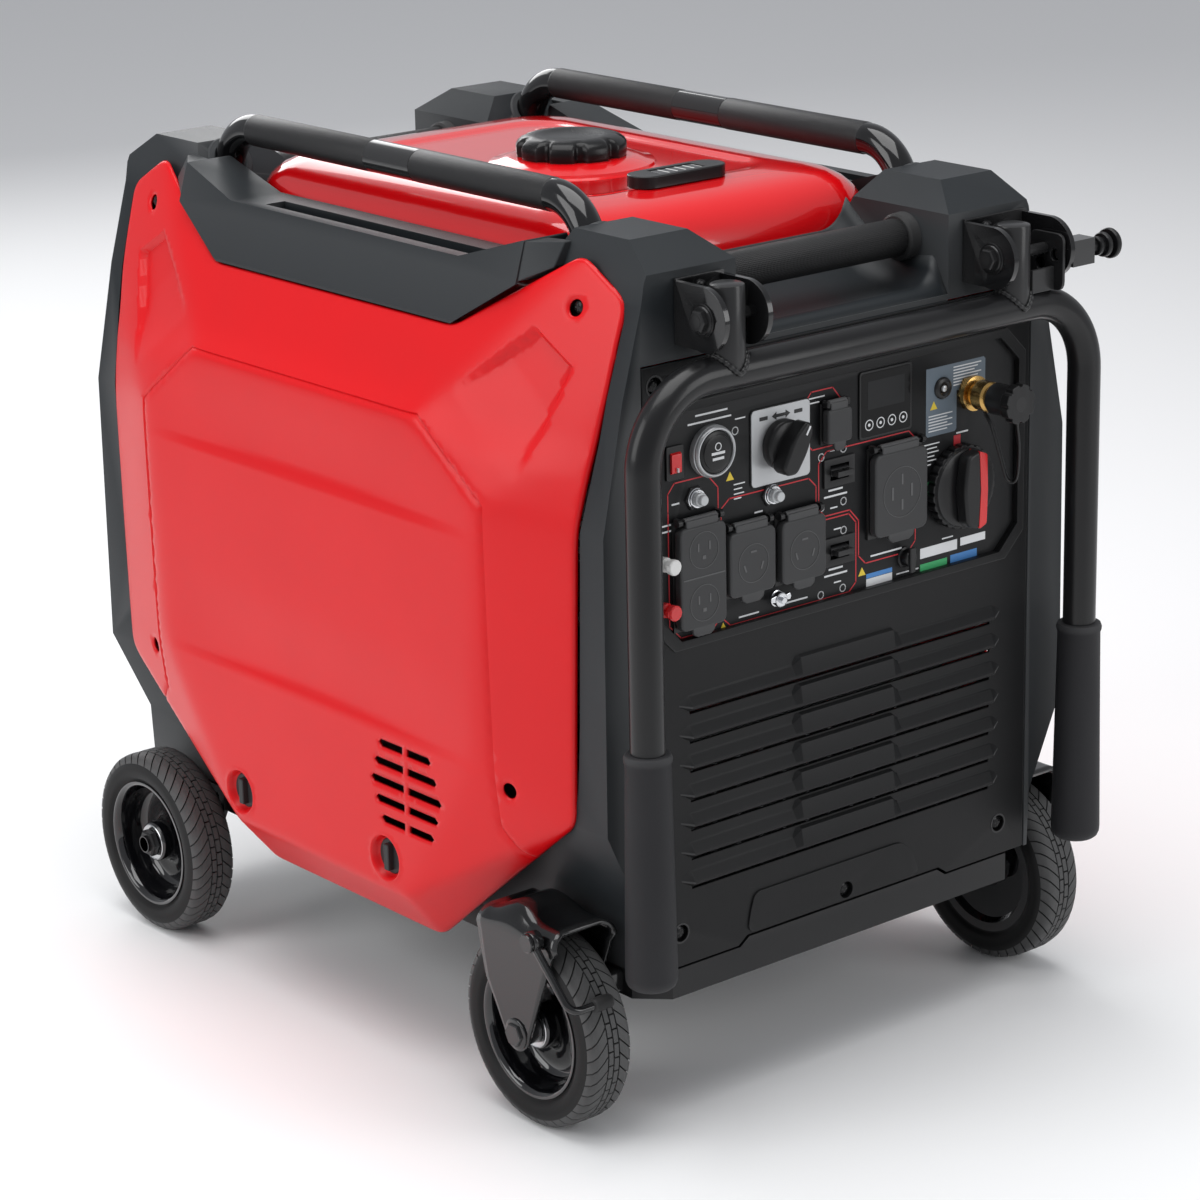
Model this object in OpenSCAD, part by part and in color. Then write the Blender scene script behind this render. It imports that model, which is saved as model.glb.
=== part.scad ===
// Wheeled portable inverter generator with a fold-down push handle.
// X runs to the right of the control panel, Y to the rear, Z up.
// The origin is on the ground, midway between the four wheels.

/* [Body] */
// Length between the faces of the front and rear covers
body_len = 734; // [700:1:900]
// Width over the raised faces of the side panels
body_w = 578; // [560:1:700]
// Height from the base tray's underside to the tops of the corner towers
body_h = 633; // [600:1:760]
// Height of the base tray's underside above the ground
base_z = 112; // [108:1:130]
// How far each cover's edge lies inside the side panel's raised face
cover_inset = 71; // [66:1:76]
// Wall of the moulded shells
wall = 3; // [2.5:0.5:4]
// Seam between neighbouring panels
seam = 1.5; // [1:0.5:2]

/* [Base tray] */
// Height of the tray's rim
tray_h = 25; // [20:1:27]
// Sheet thickness of the tray
tray_t = 3; // [2:0.5:4]
// Height of the step in the middle of the tray's front lip
lip_step = 7; // [4:1:9]

/* [Wheels] */
// Tyre diameter
wheel_d = 172; // [160:1:207]
// Tyre width
wheel_w = 46.5; // [40:0.5:50]
// Distance from each cover's face back to the axle
axle_inset = 79; // [76:1:90]
// Gap between the tray's side and the tyre
wheel_gap = 22.5; // [20:0.5:26]
// Diameter of the rim's bead seat
rim_d = 120; // [110:1:126]
// Axle diameter
axle_d = 16; // [12:1:18]
// Radial clearance of a turning shaft
run_gap = 0.05; // [0.02:0.01:0.1]
// Plate thickness of the wheel forks
fork_t = 4; // [3:0.5:5]
// Side gap between the tyre and a fork cheek
fork_gap = 6; // [4:0.5:8]
// Wire diameter of the brake lever
brake_wire_d = 7; // [6:0.5:8]

/* [Handles] */
// Outside diameter of the handle tubes
tube_d = 28.6; // [23.8:0.1:35]
// Height of the carry handles' centreline above the tower tops
carry_rise = 15; // [12:1:30]
// Bend radius of the carry handles
carry_bend = 45; // [40:1:60]
// Diameter of the front and rear cross handles
cross_d = 32; // [28:1:34]
// Height of the push handle's pivot below the tower tops
pivot_drop = 56; // [50:1:60]
// Distance of the push handle's pivot in front of the cover face
pivot_out = 35; // [33:1:45]
// Drop from the pivot to the push handle's crossbar
crossbar_drop = 45; // [44:1:60]
// Bend radius of the push handle
push_bend = 67; // [55:1:80]
// Height of the push handle's lower ends above the tray's underside
grip_low = 38; // [32:1:60]
// Length of the rubber grips
grip_len = 200; // [150:1:240]
// Diameter of the rubber grips at their lower end
grip_d = 43; // [38:1:44]
// Diameter of the pivot bolts
pivot_bolt_d = 10; // [8:1:12]
// Plate thickness of the handle brackets
ear_t = 5; // [4:0.5:6]
// Opening angle of the push handle
push_open = 90; // [80:1:95]
// Diameter of the lock pin
lock_pin_d = 8; // [6:0.5:9]
// Travel of the lock pin from its pulled rest to full engagement
lock_travel = 8; // [6:0.5:10]

/* [Fuel tank] */
// How far the tank's side reaches out past the carry handle's centre plane
tank_overhang = 6; // [0:1:8]
// Height of the tank's top below the tower tops
tank_drop = 5; // [3:1:12]
// Depth of the tank
tank_h = 140; // [120:1:160]
// Diameter of the fuel cap
cap_d = 100; // [90:1:104]
// Position of the filler along Y
cap_y = -20; // [-40:1:0]
// Bore of the filler neck
neck_d = 60; // [50:1:72]
// Position of the fuel gauge along Y
gauge_y = -160; // [-180:1:-130]

/* [Control panel] */
// Height of the panel's centre below the tower tops
panel_drop = 231; // [220:1:245]
// Height of the panel
panel_h = 196; // [190:1:210]
// Rim of the front cover beside the panel
panel_rim = 12; // [11:1:16]
// Corner chamfer of the panel
panel_cut = 22; // [16:1:30]
// How far the panel is set in behind the cover's face
panel_inset = 5; // [4:0.5:8]
// Sheet thickness of the panel
panel_t = 3; // [2:0.5:4]
// Start button's place, right of and above the panel's centre
start_at = [-143, 56]; // [-200:1:200]
// Diameter of the start button's ring
start_d = 43; // [38:1:44]
// Selector plate's place
selector_at = [-68, 48]; // [-200:1:200]
// Side of the selector's square plate
selector_side = 64; // [56:1:65]
// Fuel knob's place
fuel_at = [135, -27]; // [-200:1:200]
// Diameter of the fuel knob
fuel_d = 74; // [66:1:76]
// Gas inlet's place
gas_at = [149, 52]; // [-200:1:200]
// Diameter of the gas inlet's pipe
gas_d = 21; // [18:0.5:22]
// Length of the gas inlet in front of the panel
gas_len = 46; // [40:1:50]
// Display's place
display_at = [50, 62]; // [-200:1:200]
// Display's width and height
display_size = [60, 58]; // [50:1:70]
// Data port cover's place
usb_at = [-10, 55]; // [-200:1:200]
// Data port cover's width and height
usb_size = [28, 35]; // [20:1:40]
// Duplex outlet cover's place
duplex_at = [-160, -42]; // [-200:1:200]
// Duplex outlet cover's width and height
duplex_size = [50, 92]; // [40:1:110]
// Left locking outlet cover's place
lock_left_at = [-107, -41]; // [-200:1:200]
// Left locking outlet cover's width and height
lock_left_size = [51, 61]; // [40:1:70]
// Right locking outlet cover's place
lock_right_at = [-50.5, -42]; // [-200:1:200]
// Right locking outlet cover's width and height
lock_right_size = [50, 60]; // [40:1:70]
// Range outlet cover's place
range_at = [60, -15]; // [-200:1:200]
// Range outlet cover's width and height
range_size = [62, 78]; // [50:1:90]
// Depth of the outlet covers
cover_t = 9; // [7:0.5:12]
// Hinge pin diameter of the covers
hinge_d = 3; // [2.5:0.5:4]
// Upper breaker's place
upper_breaker_at = [-3, 12]; // [-200:1:200]
// Lower breaker's place
lower_breaker_at = [-3, -56]; // [-200:1:200]
// Left push-to-reset button's place
left_reset_at = [-160, 20]; // [-200:1:200]
// Right push-to-reset button's place
right_reset_at = [-78, 7]; // [-200:1:200]
// Indicator light's place
light_at = [117, 61]; // [-200:1:200]
// Low-voltage port's place
port_at = [74, -78]; // [-200:1:200]
// Ground terminal's place
ground_at = [-74, -82]; // [-200:1:200]
// Upper parallel terminal's place
upper_terminal_at = [-194, -28]; // [-200:1:200]
// Lower parallel terminal's place
lower_terminal_at = [-194, -66]; // [-200:1:200]
// Rocker switch's place
rocker_at = [-181, 53]; // [-200:1:200]

/* [Louvres] */
// Number of louvres on each cover
louvre_n = 7; // [5:1:7]
// Spacing of the louvres
louvre_pitch = 25.3; // [24:0.1:28]
// Height of the lowest louvre above the tray's underside
louvre_low = 97; // [90:1:110]
// Distance from a louvre's tip to the cover's edge
louvre_margin = 34; // [25:1:45]
// How far a louvre blade stands proud
louvre_out = 6; // [4:0.5:8]

/* [Power unit] */
// Crankshaft diameter
crank_d = 28; // [24:1:32]
// Height of the crankshaft above the tray's underside
crank_h = 140; // [130:1:150]
// Outside diameter of the alternator
stator_d = 216; // [200:1:220]
// Length of the alternator
stator_len = 96; // [80:1:110]
// Air gap between the rotor and the stator
air_gap = 1; // [0.6:0.1:2]
// Diameter of the muffler
muffler_d = 116; // [100:1:124]

/* [Hidden] */
$fn = 40;

// Places of the paired items on the panel
breaker_at = [upper_breaker_at, lower_breaker_at];
reset_at = [left_reset_at, right_reset_at];
terminal_at = [upper_terminal_at, lower_terminal_at];

// Overall planes
hx = body_w / 2;
yf = body_len / 2;
top_z = base_z + body_h;
cover_x = hx - cover_inset;
tray_x = cover_x + 1;
tray_top = base_z + tray_h;
cover_top = top_z - 95;

// Wheels
wheel_r = wheel_d / 2;
axle_r = axle_d / 2;
axle_y = yf - axle_inset;
wheel_in = tray_x + wheel_gap;
wheel_out = wheel_in + wheel_w;
cheek_out = wheel_out + fork_gap + fork_t;
cheek_in = wheel_in - fork_gap - fork_t;
crown_z = wheel_d + 12;

// Handles
tube_r = tube_d / 2;
carry_x = hx - 115;
carry_z = top_z + carry_rise;
carry_straight = yf - 155;
carry_angle = 65;
carry_tail = 38;
cross_x = hx - 171;
cross_y = yf - 52;
cross_z = top_z - 47;
pivot_y = -(yf + pivot_out);
pivot_z = top_z - pivot_drop;
crossbar_z = pivot_z - crossbar_drop;
stub_x = hx - 130.5;
leg_x = hx - 42;
bolt_r = pivot_bolt_d / 2;
stub_top = 26;
ear_gap = tube_r + 5.7;
plate_y = -(yf + 1);
plate_t = 3;
ear_low = -25;
ear_high = 28;
ear_r = 26;
far_ear_x = stub_x + 42;
lock_offset = [-13, -4];
lock_tab_t = 3;
lock_tab_x = far_ear_x - 5.5;
lock_tip_x = far_ear_x - 1;
lock_house_out = far_ear_x + ear_t + 26;
pin_gap = 0.2;

// Tank
tank_x = carry_x + tank_overhang;
tank_y = yf - 128;
tank_top = top_z - tank_drop;
tank_low = tank_top - tank_h;
tank_t = 2;
neck_r = neck_d / 2;
neck_wall = 3;
neck_top = tank_top + 6;

// Control panel
panel_z = top_z - panel_drop;
panel_x = cover_x - panel_rim;
face_y = -(yf - panel_inset);
back_y = face_y + panel_t;
frame_t = 2;
hinge_r = hinge_d / 2;
barrel_r = hinge_r + 1.8;
start_r = start_d / 2 - 4;
gas_r = gas_d / 2;
reset_r = 6;
knob_shaft_r = 6;

// Power unit
crank_r = crank_d / 2;
crank_z = base_z + crank_h;
stator_r = stator_d / 2;
stator_in = stator_r - 24;
stator_front = -50;
muffler_r = muffler_d / 2;

// The lower corners of the body are cut off round the wheels: where each cut
// starts above the fork's crown, and where it ends behind the cover's face.
cut_z = crown_z + 87;
cut_y = axle_inset + wheel_r + 77;
// Rim of the side panel: inset from the raised face, inset from the cover
// face, and height, from the tower peak round to the bottom edge.
side_rim = [
    [71, 70, top_z - 15], [70, 17, top_z - 45], [49, 20, top_z - 119],
    [27, 32, top_z - 225], [24, 39, cut_z], [39, cut_y, base_z - 2]
];
// Corners of the panel's raised face, in the same terms.
side_face = [
    [0, 204, top_z - 157], [0, 122, top_z - 215], [0, 138, cut_z + 32], [0, cut_y - 3, base_z + 46]
];
notch_y = yf - 196;
notch_z = top_z - 87;
peak_y = yf - 70;
peak_z = top_z - 15;
side_mid_z = base_z + body_h / 2;
// Screw bosses of a side panel: Y, Z, and depth of the skin there.
side_bosses = [[yf - 65, top_z - 55, 58], [yf - 104, cut_z + 17, 15]];
boss_r = 10;
screw_sink = 8;
screw_hole_r = 7;
screw_r = 5.5;
side_bolt_r = 4;
bolt_hole_r = side_bolt_r + 0.2;
turn_locks = [[cut_y + 25 - yf, base_z + 73], [yf - cut_y - 5, base_z + 73]];
lock_hole_r = 15;
lock_plug_t = 5;
lock_plug_edge = 1;
// Air slots of a side panel: five rows of two, with a rib between them. Each
// row's reach is from the rib's middle to a slot's pointed tip.
vent_y = -133.5;
vent_z = base_z + 143.5;
vent_pitch = 17.2;
vent_half = 3.7;
vent_rib = 2.6;
vent_reach = [37, 44, 50, 44, 37];

// Front outline of the corner surround: half width and height.
surround_front = [
    [0, tray_top + 1], [cover_x + 4, tray_top + 1], [cover_x + 6, crown_z + fork_t + 2],
    [hx - 28, cut_z], [hx - 30, top_z - 225], [hx - 52, top_z - 119],
    [hx - 73, top_z - 45], [hx - 76, top_z - 28], [hx - 89, top_z],
    [hx - 149, top_z], [cross_x, top_z - 22], [cross_x, top_z - 89],
    [0, top_z - 89]
];
// Side outline of the surround: distance behind the cover face and height.
surround_side = [
    [0, tray_top + 1], [0, top_z - 22], [32, top_z], [99, top_z],
    [125, top_z - 38], [125, top_z - 92], [40, top_z - 119],
    [52, top_z - 225], [59, cut_z + 16], [cut_y + 8, tray_top + 10],
    [cut_y + 8, tray_top + 1]
];

// A box between two corners.
module block(lo, hi) translate(lo) cube(hi - lo);
// Round bars along the three axes.
module rod_x(x0, x1, y, z, r) translate([x0, y, z]) rotate([0, 90, 0]) cylinder(h = x1 - x0, r = r);
module rod_y(y0, y1, x, z, r) translate([x, y0, z]) rotate([-90, 0, 0]) cylinder(h = y1 - y0, r = r);
module rod_z(z0, z1, x, y, r) translate([x, y, z0]) cylinder(h = z1 - z0, r = r);
// A flat outline in Y and Z, given thickness along X.
module along_x(x0, x1) translate([x0, 0, 0]) rotate([90, 0, 90]) linear_extrude(x1 - x0) children();
// A flat outline in X and Z, given thickness along Y.
module along_y(y0, y1) translate([0, y1, 0]) rotate([90, 0, 0]) linear_extrude(y1 - y0) children();
module both_sides() { children(); mirror([1, 0, 0]) children(); }
module left_side() mirror([1, 0, 0]) children();
module rear_end() rotate([0, 0, 180]) children();
// A point on the control panel's face, measured from the panel's centre.
module on_panel(at) translate([at[0], face_y, panel_z + at[1]]) children();
module convex(points) hull() polyhedron(points, [[for (i = [0 : len(points) - 1]) i]]);

// ---- Base and covers ----

module tray_outline(inset) {
    x = tray_x - inset;
    y = yf - inset;
    c = 24;
    polygon([[-x + c, -y], [x - c, -y], [x, -y + c], [x, y - c],
             [x - c, y], [-x + c, y], [-x, y - c], [-x, -y + c]]);
}

// Half width of the step in the middle of the tray's lip.
lip_x = 120;

// Centres of the bolts that hold the forks and axle plates to the tray.
side_bolt_gap = 56;
side_bolt_z = base_z + tray_h / 2 + 1;
side_bolt_y = [for (end = [-axle_y - 3, axle_y]) for (s = [-1, 1]) end + s * side_bolt_gap / 2];

module base_tray() color([0.08, 0.08, 0.09]) {
    difference() {
        translate([0, 0, base_z]) linear_extrude(tray_h) tray_outline(0);
        translate([0, 0, base_z + tray_t]) linear_extrude(tray_h) tray_outline(tray_t);
        for (y = side_bolt_y) rod_x(-tray_x - 1, tray_x + 1, y, side_bolt_z, bolt_hole_r);
    }
    for (end = [0, 180]) rotate([0, 0, end])
        along_y(-yf, -yf + tray_t)
            polygon([[-lip_x, tray_top], [lip_x, tray_top], [lip_x - 10, tray_top + lip_step],
                     [-lip_x + 10, tray_top + lip_step]]);
}

module cover_outline() {
    x = cover_x - seam;
    low = tray_top + seam;
    polygon([[-x, low], [-lip_x - 2, low], [-lip_x + 8, low + lip_step], [lip_x - 8, low + lip_step],
             [lip_x + 2, low], [x, low], [x, cover_top], [-x, cover_top]]);
}

module panel_outline(edge) {
    x = panel_x - edge;
    h = panel_h / 2 - edge;
    c = panel_cut;
    translate([0, panel_z])
        polygon([[-x + c, -h], [x - c, -h], [x, -h + c], [x, h - c],
                 [x - c, h], [-x + c, h], [-x, h - c], [-x, -h + c]]);
}

module louvre(z) {
    x = cover_x - louvre_margin;
    along_x(-x, x)
        polygon([[-yf + 1, z + 12], [-yf - louvre_out, z + 2],
                 [-yf - louvre_out, z - 1], [-yf + 1, z + 8]]);
}

module louvred_cover() {
    slot_x = cover_x - louvre_margin - 8;
    difference() {
        along_y(-yf, -yf + wall) cover_outline();
        for (i = [0 : louvre_n - 1]) {
            z = base_z + louvre_low + i * louvre_pitch;
            block([-slot_x, -yf - 1, z - 9], [slot_x, -yf + wall + 1, z + 6]);
        }
        cover_screws() rod_y(-yf - 1, -yf + wall + 1, 0, 0, 3.2);
        children();
    }
    for (i = [0 : louvre_n - 1]) louvre(base_z + louvre_low + i * louvre_pitch);
}

// The three screws along a cover's lower edge and the two at its top.
module cover_screws() {
    translate([0, 0, base_z + 44]) children();
    for (s = [-1, 1]) {
        translate([s * (cover_x - 33), 0, base_z + 56]) children();
        translate([s * (cover_x - 14), 0, cover_top - 16]) children();
    }
}

module front_cover() color([0.10, 0.10, 0.11])
    louvred_cover() along_y(-yf - 1, -yf + wall + 1) panel_outline(4);

module rear_cover() color([0.10, 0.10, 0.11]) rear_end()
    louvred_cover() rod_y(-yf - 1, -yf + wall + 1, 110, top_z - 300, muffler_r / 2 + 4);

// ---- Corner surrounds with their towers ----

// The outline of the cavity, a wall inside the front outline. Points between
// the towers move outward, so that each tower keeps its inner wall.
function is_inner(p) = p[1] > side_mid_z && p[0] > 0 && p[0] < hx - 100;
function inset_front(p, t) = [
    is_inner(p) ? p[0] + t : max(p[0] - t, 0),
    p[1] < tray_top + 2 ? p[1] - 40 : p[1] < side_mid_z ? p[1] : p[1] - t];
function both_halves(p) = concat(p, [for (i = [len(p) - 1 : -1 : 0]) [-p[i][0], p[i][1]]]);

module surround_solid() intersection() {
    along_y(-yf, 0) polygon(both_halves(surround_front));
    along_x(-hx, hx) polygon([for (p = surround_side) [-yf + p[0], p[1]]]);
}

module surround_cavity() intersection() {
    along_y(-yf + wall, 0) polygon(both_halves([for (p = surround_front) inset_front(p, wall)]));
    along_x(-hx, hx) polygon([
        [-yf + wall, base_z - 40], [-yf + wall, top_z - 24], [-yf + 33, top_z - wall],
        [-yf + 98, top_z - wall], [-yf + 122, top_z - 39], [-yf + 122, top_z - 89 - wall],
        [1, top_z - 89 - wall], [1, base_z - 40]]);
}

module side_skin(inset, depth) {
    outer = concat(side_rim, side_face);
    points = [for (s = [-1, 1]) for (p = outer)
        [hx - p[0] - inset, s * (yf - p[1] - inset), p[2] + (p[2] > side_mid_z ? -inset : inset)]];
    convex(concat(points, [for (p = points) [p[0] - depth, p[1], p[2]]]));
}

module surround() difference() {
    surround_solid();
    surround_cavity();
    both_sides() side_skin(-seam, 2 * seam);
    block([-cover_x, -yf - 1, tray_top - 1], [cover_x, -yf + wall + 1, cover_top + seam]);
    both_sides() {
        carry_tube(tube_r + run_gap);
        for (s = [-1, 1]) for (b = side_bosses) {
            rod_x(hx - b[2] - screw_sink - 6, hx, s * b[0], b[1], boss_r + seam);
            rod_x(hx - b[2] - screw_sink - 40, hx, s * b[0], b[1], 3.2);
        }
    }
}

module front_surround() color([0.17, 0.18, 0.19]) difference() {
    surround();
    bracket_bolts() rod_y(-yf - 1, -yf + wall + 1, 0, 0, 3.2);
}
module rear_surround() color([0.17, 0.18, 0.19]) rear_end() surround();

// ---- Side panels and top rails ----

module side_panel() difference() {
    union() {
        difference() {
            side_skin(0, 0);
            side_skin(wall, 60);
        }
        intersection() {
            side_skin(0, 0);
            for (s = [-1, 1]) for (b = side_bosses)
                rod_x(hx - b[2] - screw_sink - 4, hx, s * b[0], b[1], boss_r);
        }
    }
    along_x(hx - 120, hx + 1)
        polygon([[-notch_y, notch_z], [notch_y, notch_z], [peak_y, peak_z], [peak_y, top_z + 10],
                 [-peak_y, top_z + 10], [-peak_y, peak_z]]);
    for (s = [-1, 1]) for (b = side_bosses) {
        rod_x(hx - b[2] - 60, hx + 1, s * b[0], b[1], 3.2);
        rod_x(hx - b[2] - screw_sink, hx + 1, s * b[0], b[1], screw_hole_r);
    }
    for (t = turn_locks) rod_x(hx - 60, hx + 1, t[0], t[1], lock_hole_r);
    for (row = [0 : len(vent_reach) - 1]) for (side = [-1, 1])
        vent(side, vent_z + (row - (len(vent_reach) - 1) / 2) * vent_pitch, vent_reach[row]);
}

// An air slot, square at the rib and pointed at its tip.
module vent(side, z, reach) along_x(hx - 60, hx + 1)
    polygon([for (p = [[vent_rib, -vent_half], [reach - vent_half, -vent_half], [reach, 0],
                       [reach - vent_half, vent_half], [vent_rib, vent_half]])
             [vent_y + side * p[0], z + p[1]]]);

module left_side_panel() color([0.75, 0.04, 0.04]) left_side() side_panel();
module right_side_panel() color([0.75, 0.04, 0.04]) side_panel();

// Shape of a top rail along Y. The rail is thick enough to hold a slot.
rail_t = 16;
module rail_profile() {
    low = notch_z + seam;
    high = top_z - 33;
    polygon([[-notch_y + 2, low], [notch_y - 2, low], [peak_y - 34, peak_z - 16],
             [yf - 127, top_z - 10], [notch_y - 8, high], [-notch_y + 8, high],
             [-yf + 127, top_z - 10], [-peak_y + 34, peak_z - 16]]);
}

module top_rail() difference() {
    intersection() {
        along_x(tank_x + 4, hx) difference() {
            rail_profile();
            translate([0, -rail_t]) rail_profile();
        }
        along_y(-yf + 126, yf - 126)
            polygon([[tank_x + 4, notch_z - 4], [hx - 37, notch_z - 4], [hx - 37, notch_z + 4],
                     [hx - 62, top_z], [tank_x + 4, top_z]]);
    }
    block([hx - 84, -yf + 157, top_z - 33 - rail_t + wall], [hx - 64, yf - 240, top_z]);
    carry_tube(tube_r + seam);
}

module rail_lip() intersection() {
    along_x(tank_x + 4, hx) rail_profile();
    along_y(-yf + 126, yf - 126)
        polygon([[hx - 39.5, notch_z - 4], [hx - 37, notch_z - 4], [hx - 37, notch_z + 4],
                 [hx - 62, top_z], [hx - 65, top_z], [hx - 39.5, notch_z + 4]]);
}

module rail() {
    top_rail();
    rail_lip();
}

module left_top_rail() color([0.17, 0.18, 0.19]) left_side() rail();
module right_top_rail() color([0.17, 0.18, 0.19]) rail();

// ---- Fuel tank, cap and gauge ----

module tank_form(inset) hull() {
    block([-tank_x + inset, -tank_y + inset, tank_low + inset],
          [tank_x - inset, tank_y - inset, tank_top - 30]);
    block([-tank_x + 14 + inset, -tank_y + 26 + inset, tank_top - 30],
          [tank_x - 14 - inset, tank_y - 26 - inset, tank_top - inset]);
}

module fuel_tank() color([0.78, 0.04, 0.04]) difference() {
    union() {
        difference() {
            tank_form(0);
            tank_form(tank_t);
        }
        rod_z(tank_top - 12, neck_top, 0, cap_y, neck_r + neck_wall);
    }
    rod_z(tank_top - 20, neck_top + 1, 0, cap_y, neck_r);
}

// The sealing insert drops into the neck and carries the cap on a stud.
insert_r = neck_r - 0.3;
insert_t = 3;
stud_r = 8;
module fuel_cap_insert() color([0.2, 0.2, 0.2]) {
    difference() {
        rod_z(neck_top - 14, neck_top, 0, cap_y, insert_r);
        rod_z(neck_top - 15, neck_top - insert_t, 0, cap_y, insert_r - insert_t);
    }
    rod_z(neck_top, neck_top + insert_t, 0, cap_y, neck_r + neck_wall);
    rod_z(neck_top + insert_t, neck_top + 13, 0, cap_y, stud_r);
}

cap_low = neck_top - 4;
cap_high = neck_top + 17;
module fuel_cap() color([0.06, 0.06, 0.06]) difference() {
    union() {
        rod_z(cap_low, cap_high, 0, cap_y, cap_d / 2 - 4);
        for (i = [0 : 8]) translate([0, cap_y, 0]) rotate([0, 0, i * 40])
            rod_z(cap_low, cap_high - 4, cap_d / 2 - 10, 0, 10);
    }
    rod_z(cap_low - 1, neck_top + insert_t + 0.3, 0, cap_y, neck_r + neck_wall + 1);
    rod_z(cap_low, neck_top + 13 + 0.3, 0, cap_y, stud_r + run_gap);
}

gauge_len = 100;
gauge_w = 32;
gauge_h = 11;
gauge_window = [48, 18, 3];
module fuel_gauge() color([0.05, 0.05, 0.05]) difference() {
    hull() for (s = [-1, 1])
        translate([s * (gauge_len - gauge_w) / 2, gauge_y, tank_top])
            cylinder(h = gauge_h, r = gauge_w / 2);
    translate([-gauge_window[0] / 2, gauge_y - gauge_window[1] / 2, tank_top + gauge_h - gauge_window[2]])
        cube([gauge_window[0], gauge_window[1], gauge_window[2] + 1]);
}

// ---- Handles ----

module carry_end(r) {
    translate([carry_x, carry_straight, carry_z]) {
        rotate([0, 90, 0]) rotate([0, 0, 90]) translate([0, -carry_bend, 0])
            rotate([0, 0, 90 - carry_angle]) rotate_extrude(angle = carry_angle)
                translate([carry_bend, 0]) circle(r);
        translate([0, carry_bend * sin(carry_angle), -carry_bend * (1 - cos(carry_angle))])
            rotate([-90 - carry_angle, 0, 0]) cylinder(h = carry_tail, r = r);
    }
}

module carry_tube(r) {
    rod_y(-carry_straight, carry_straight, carry_x, carry_z, r);
    carry_end(r);
    mirror([0, 1, 0]) carry_end(r);
}

module left_carry_handle() color([0.05, 0.05, 0.05]) left_side() carry_tube(tube_r);
module right_carry_handle() color([0.05, 0.05, 0.05]) carry_tube(tube_r);

module cross_handle() {
    collar = 8;
    rod_x(-cross_x, cross_x, -cross_y, cross_z, cross_d / 2);
    both_sides() rod_x(cross_x - collar, cross_x, -cross_y, cross_z, cross_d / 2 + 4);
}
module front_cross_handle() color([0.05, 0.05, 0.05]) cross_handle();
module rear_cross_handle() color([0.05, 0.05, 0.05]) rear_end() cross_handle();

// A clevis ear, flat in Y and Z, around the push handle's pivot.
module ear(x) difference() {
    along_x(x, x + ear_t) {
        translate([pivot_y, pivot_z]) circle(ear_r);
        translate([pivot_y, pivot_z + ear_low]) square([plate_y - pivot_y, ear_high - ear_low - 2]);
    }
    rod_x(x - 1, x + ear_t + 1, pivot_y, pivot_z, bolt_r + run_gap);
}

module bracket(near_x, far_x) {
    difference() {
        block([near_x, plate_y - plate_t, pivot_z + ear_low], [far_x, plate_y, pivot_z + ear_high]);
        bracket_bolts() rod_y(plate_y - plate_t - 1, plate_y + 1, 0, 0, 3.2);
    }
    ear(near_x);
    ear(far_x - ear_t);
}

// Two bolts hold each bracket's plate to the tower.
module bracket_bolts() for (s = [-1, 1]) for (dz = [-16, 18])
    translate([s * stub_x, 0, pivot_z + dz]) children();

module left_handle_bracket() color([0.05, 0.05, 0.05]) left_side()
    bracket(stub_x - ear_gap - ear_t, stub_x + ear_gap + ear_t);

module right_handle_bracket() color([0.05, 0.05, 0.05]) difference() {
    union() {
        bracket(stub_x - ear_gap - ear_t, far_ear_x + ear_t);
        block([far_ear_x + ear_t, pivot_y + lock_offset[0] - 11, pivot_z + lock_offset[1] - 11],
              [lock_house_out, pivot_y - bolt_r - 0.5, pivot_z + lock_offset[1] + 11]);
    }
    rod_x(far_ear_x - 1, lock_house_out + 1, pivot_y + lock_offset[0], pivot_z + lock_offset[1],
          lock_pin_d / 2 + run_gap);
}

module lock_pin() color([0.04, 0.04, 0.04])
    translate([0, pivot_y + lock_offset[0], pivot_z + lock_offset[1]]) {
        knob_x = lock_house_out + lock_travel + 3;
        rod_x(lock_tip_x, knob_x + 1, 0, 0, lock_pin_d / 2);
        rod_x(knob_x, knob_x + 20, 0, 0, 7);
        for (i = [0 : 2]) rod_x(knob_x + i * 8, knob_x + i * 8 + 5, 0, 0, 8 + i * 2.5);
    }

// ---- Push handle ----

module push_corner() translate([leg_x - push_bend, pivot_y, crossbar_z - push_bend])
    rotate([90, 0, 0]) rotate_extrude(angle = 90) translate([push_bend, 0]) circle(tube_r);

module push_half() {
    rod_x(-1, leg_x - push_bend, pivot_y, crossbar_z, tube_r);
    push_corner();
    rod_z(base_z + grip_low + 5, crossbar_z - push_bend, leg_x, pivot_y, tube_r);
    difference() {
        rod_z(crossbar_z, pivot_z + stub_top, stub_x, pivot_y, tube_r);
        rod_x(stub_x - tube_r - 1, stub_x + tube_r + 1, pivot_y, pivot_z, bolt_r + run_gap);
    }
}

// The flange beside the right stub has one hole for each locked position.
module lock_tab() difference() {
    union() {
        block([lock_tab_x, pivot_y - 22, pivot_z - 34],
              [lock_tab_x + lock_tab_t, pivot_y + 16, pivot_z + 14]);
        block([stub_x + tube_r - 3, pivot_y - 12, pivot_z - 34],
              [lock_tab_x + 1, pivot_y - 8, pivot_z - 14]);
    }
    rod_x(lock_tab_x - 40, lock_tab_x + 10, pivot_y, pivot_z, bolt_r + run_gap);
    for (a = [0, push_open]) translate([0, pivot_y, pivot_z]) rotate([a, 0, 0])
        rod_x(lock_tab_x - 1, lock_tab_x + 10, lock_offset[0], lock_offset[1], lock_pin_d / 2 + pin_gap);
}

module push_handle() color([0.09, 0.09, 0.1]) {
    both_sides() push_half();
    lock_tab();
}

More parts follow.
